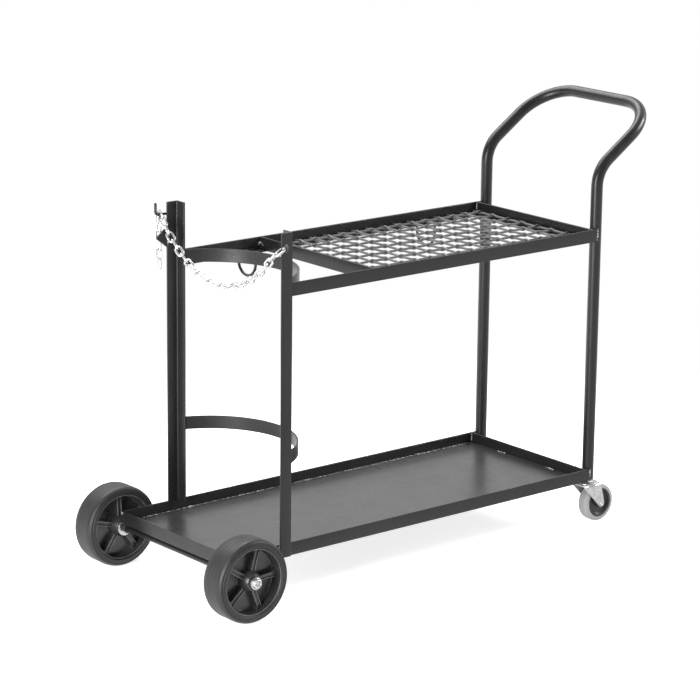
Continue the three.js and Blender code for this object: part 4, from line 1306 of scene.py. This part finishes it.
def add_hole_arcs():
    """Two thin lighter arcs round the chain's hole, on the side that the chain doesn't lie on."""
    face = Vector((CHAIN_HOLE.x, -POST_OUTSIDE, CHAIN_HOLE.z))
    bm = bmesh.new()
    for reach in (CHAIN_HOLE_RADIUS + 1.6 * MM, CHAIN_HOLE_RADIUS + 3.4 * MM):
        turns = [math.radians(-75 + 150 * step / 20) for step in range(21)]
        path = [face + (ALONG * math.cos(turn) + UP * math.sin(turn)) * reach for turn in turns]
        round_bar(bm, path, 0.9 * MM, 8)
    make("chain_hole_light_arcs", bm, "powder_coat", "frame", finish="mesh_coat")


def add_tacks():
    bm = bmesh.new()
    low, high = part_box("shelf_mesh")
    xs = even_places(low.x + MESH_ROW_INSET, high.x - MESH_ROW_INSET, MESH_PITCH_ALONG)
    ys = even_places(low.y + MESH_ROW_INSET, high.y - MESH_ROW_INSET, MESH_PITCH_ACROSS)
    level = SHELF_BOTTOM + WALL + MESH_WIRE
    for y in ys:
        for x in (low.x + 6 * MM, high.x - 6 * MM):
            add_tack(bm, Vector((x, y + chance.uniform(-1, 1) * MM, level)), 3.2 * MM)
    for x in xs:
        for y in (low.y + 6 * MM, high.y - 6 * MM):
            add_tack(bm, Vector((x + chance.uniform(-1, 1) * MM, y, level)), 3.2 * MM)
    make("shelf_mesh_tacks", bm, "mesh_coat", "frame", sharp=60)
    bm = bmesh.new()
    low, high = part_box("tray_floor")
    middle = (low + high) / 2
    for x in (middle.x - 277 * MM, middle.x, middle.x + 277 * MM):
        for y, way in ((low.y, 1), (high.y, -1)):
            start = Vector((x - 16 * MM, y + way * 0.4 * MM, high.z))
            add_bead(bm, start, start + ALONG * (32 * MM), UP + ACROSS * way, 1.9 * MM)
    for y in (middle.y - 71 * MM, middle.y + 71 * MM):
        for x, way in ((low.x, 1), (high.x, -1)):
            start = Vector((x + way * 0.4 * MM, y - 12 * MM, high.z))
            add_bead(bm, start, start + ACROSS * (24 * MM), UP + ALONG * way, 1.9 * MM)
    make("tray_stitch_welds", bm, "powder_coat", "frame", sharp=60, finish="weld_coat_painted_glints")
    # Thin rods along the floor sheet's long edges in the glinting weld finish: a painted highlight line along the
    # rim.
    bm = bmesh.new()
    for y in (low.y, high.y):
        ends = [Vector((x, y, high.z)) for x in (low.x, high.x)]
        round_bar(bm, ends, 0.9 * MM, 8)
    make("tray_floor_edge_painted_highlight", bm, "tray_coat", "frame", finish="weld_coat_painted_glints")


# Stage


def light_path_share(tree):
    """1 for the rays that show the white background: camera, glossy and transmission."""
    path = tree.nodes.new("ShaderNodeLightPath")
    share = path.outputs["Is Camera Ray"]
    for kind in ("Is Glossy Ray", "Is Transmission Ray"):
        node = tree.nodes.new("ShaderNodeMath")
        node.operation = "MAXIMUM"
        tree.links.new(share, node.inputs[0])
        tree.links.new(path.outputs[kind], node.inputs[1])
        share = node.outputs[0]
    return share


def room_light(tree):
    """1 for what the camera sees; in reflections the room's open side is dimmer than the backdrop."""
    way = tree.nodes.new("ShaderNodeTexCoord").outputs["Generated"]
    turned = tree.nodes.new("ShaderNodeVectorMath")
    turned.operation = "DOT_PRODUCT"
    turned.inputs[1].default_value = (-0.64, -0.77, 0.0)
    tree.links.new(way, turned.inputs[0])
    room = add_range(tree, turned.outputs["Value"], 1.0, 0.36, -0.5, 0.3)
    seen = tree.nodes.new("ShaderNodeMath")
    seen.operation = "MAXIMUM"
    path = tree.nodes.new("ShaderNodeLightPath")
    tree.links.new(room, seen.inputs[0])
    tree.links.new(path.outputs["Is Camera Ray"], seen.inputs[1])
    return seen.outputs[0]


def add_world():
    world = bpy.data.worlds.new("studio")
    bpy.context.scene.world = world
    world.use_nodes = True
    tree = world.node_tree
    soft = tree.nodes["Background"]
    soft.inputs["Color"].default_value = (1, 1, 1, 1)
    soft.inputs["Strength"].default_value = 0.42
    white = tree.nodes.new("ShaderNodeBackground")
    white.inputs["Color"].default_value = (1, 1, 1, 1)
    tree.links.new(room_light(tree), white.inputs["Strength"])
    mix = tree.nodes.new("ShaderNodeMixShader")
    tree.links.new(light_path_share(tree), mix.inputs[0])
    tree.links.new(soft.outputs[0], mix.inputs[1])
    tree.links.new(white.outputs[0], mix.inputs[2])
    tree.links.new(mix.outputs[0], tree.nodes["World Output"].inputs["Surface"])


def add_floor():
    """A pale floor that shows white, and keeps a soft shadow."""
    bm = bmesh.new()
    reach = 14.0
    corners = [(-reach, -reach), (reach, -reach), (reach, reach), (-reach, reach)]
    bm.faces.new([bm.verts.new((x, y, -0.2 * MM)) for x, y in corners])
    floor = mesh_object("studio_floor", bm)
    material = bpy.data.materials.new("studio_floor")
    material.use_nodes = True
    tree = material.node_tree
    diffuse = tree.nodes["Principled BSDF"]
    diffuse.inputs["Base Color"].default_value = (0.82, 0.82, 0.82, 1)
    diffuse.inputs["Roughness"].default_value = 0.9
    diffuse.inputs["Specular IOR Level"].default_value = 0.0
    glow = tree.nodes.new("ShaderNodeEmission")
    glow.inputs["Strength"].default_value = 0.75
    both = tree.nodes.new("ShaderNodeAddShader")
    tree.links.new(diffuse.outputs[0], both.inputs[0])
    tree.links.new(glow.outputs[0], both.inputs[1])
    white = tree.nodes.new("ShaderNodeEmission")
    spot = tree.nodes.new("ShaderNodeTexCoord").outputs["Object"]
    spread = tree.nodes.new("ShaderNodeVectorMath")
    spread.operation = "LENGTH"
    tree.links.new(spot, spread.inputs[0])
    shown = tree.nodes.new("ShaderNodeMixShader")
    tree.links.new(add_range(tree, spread.outputs["Value"], 0.0, 1.0, 0.7, 1.5), shown.inputs[0])
    tree.links.new(both.outputs[0], shown.inputs[1])
    tree.links.new(white.outputs[0], shown.inputs[2])
    back = tree.nodes.new("ShaderNodeVectorMath")
    back.operation = "DOT_PRODUCT"
    back.inputs[1].default_value = (-0.8, 0.6, 0.0)
    tree.links.new(spot, back.inputs[0])
    mirrored = tree.nodes.new("ShaderNodeEmission")
    tree.links.new(add_range(tree, back.outputs["Value"], 1.15, 2.05, -0.5, 0.8), mirrored.inputs["Strength"])
    path = tree.nodes.new("ShaderNodeLightPath")
    seen = tree.nodes.new("ShaderNodeMixShader")
    tree.links.new(path.outputs["Is Glossy Ray"], seen.inputs[0])
    tree.links.new(shown.outputs[0], seen.inputs[1])
    tree.links.new(mirrored.outputs[0], seen.inputs[2])
    mix = tree.nodes.new("ShaderNodeMixShader")
    tree.links.new(light_path_share(tree), mix.inputs[0])
    tree.links.new(diffuse.outputs[0], mix.inputs[1])
    tree.links.new(seen.outputs[0], mix.inputs[2])
    tree.links.new(mix.outputs[0], tree.nodes["Material Output"].inputs["Surface"])
    floor.data.materials.append(material)


def add_lamp(name, place, target, size, power):
    lamp = bpy.data.lights.new(name, "AREA")
    lamp.shape = "RECTANGLE"
    lamp.size, lamp.size_y = size
    lamp.energy = power
    holder = bpy.data.objects.new(name, lamp)
    holder.location = place
    holder.rotation_mode = "QUATERNION"
    holder.rotation_quaternion = (target - place).to_track_quat("-Z", "Y")
    bpy.context.scene.collection.objects.link(holder)


def add_lights():
    middle = Vector((0, 0, 0.4))
    add_lamp("key", Vector((2.6, -1.4, 2.1)), middle, (1.3, 1.0), 105)
    add_lamp("top", Vector((0.1, 1.7, 2.9)), middle, (3.0, 1.6), 90)
    add_lamp("side", Vector((-2.8, -0.85, 0.95)), Vector((0, 0, 0.95)), (1.0, 1.8), 104)


def add_camera():
    azimuth = math.radians(50.28)
    drop = math.radians(14.59)
    roll = math.radians(0.66)
    target = Vector((WHEEL_END + 0.45, 0.0306, TRAY_BOTTOM + 0.2906))
    forward = Vector((
        math.cos(azimuth) * math.cos(drop),
        math.sin(azimuth) * math.cos(drop),
        -math.sin(drop),
    ))
    level = Vector((math.sin(azimuth), -math.cos(azimuth), 0))
    upright = level.cross(forward)
    right = level * math.cos(roll) + upright * math.sin(roll)
    top = upright * math.cos(roll) - level * math.sin(roll)
    data = bpy.data.cameras.new("photo_view")
    data.sensor_width = 36
    data.lens = 149.33
    data.shift_x = -0.008
    data.shift_y = 0.0033
    data.clip_end = 100
    camera = bpy.data.objects.new("photo_view", data)
    place = target - forward * 5.5495
    turn = Matrix((right, top, -forward)).transposed()
    camera.matrix_world = Matrix.Translation(place) @ turn.to_4x4()
    bpy.context.scene.collection.objects.link(camera)
    bpy.context.scene.camera = camera


def finish_kept_nodes():
    """The solids that still show take the finish of their slot."""
    slots = {"caster_ball_ring_near": "zinc", "caster_ball_ring_far": "zinc"}
    for node, slot in slots.items():
        mesh = frame["nodes"][node].data
        mesh.materials.clear()
        mesh.materials.append(FINISHES[slot])


add_camera()
add_rails()
add_posts()
add_tray_floor()
add_handle()
add_bands()
add_cable_hooks()
add_chain_hook()
add_tab()
add_shelf_mesh()
add_chain()
add_axle()
add_wheels()
add_casters()
add_frame_welds()
add_fitting_welds()
add_hole_arcs()
add_tacks()
finish_kept_nodes()
add_world()
add_floor()
add_lights()
bpy.context.scene.view_settings.view_transform = "Standard"
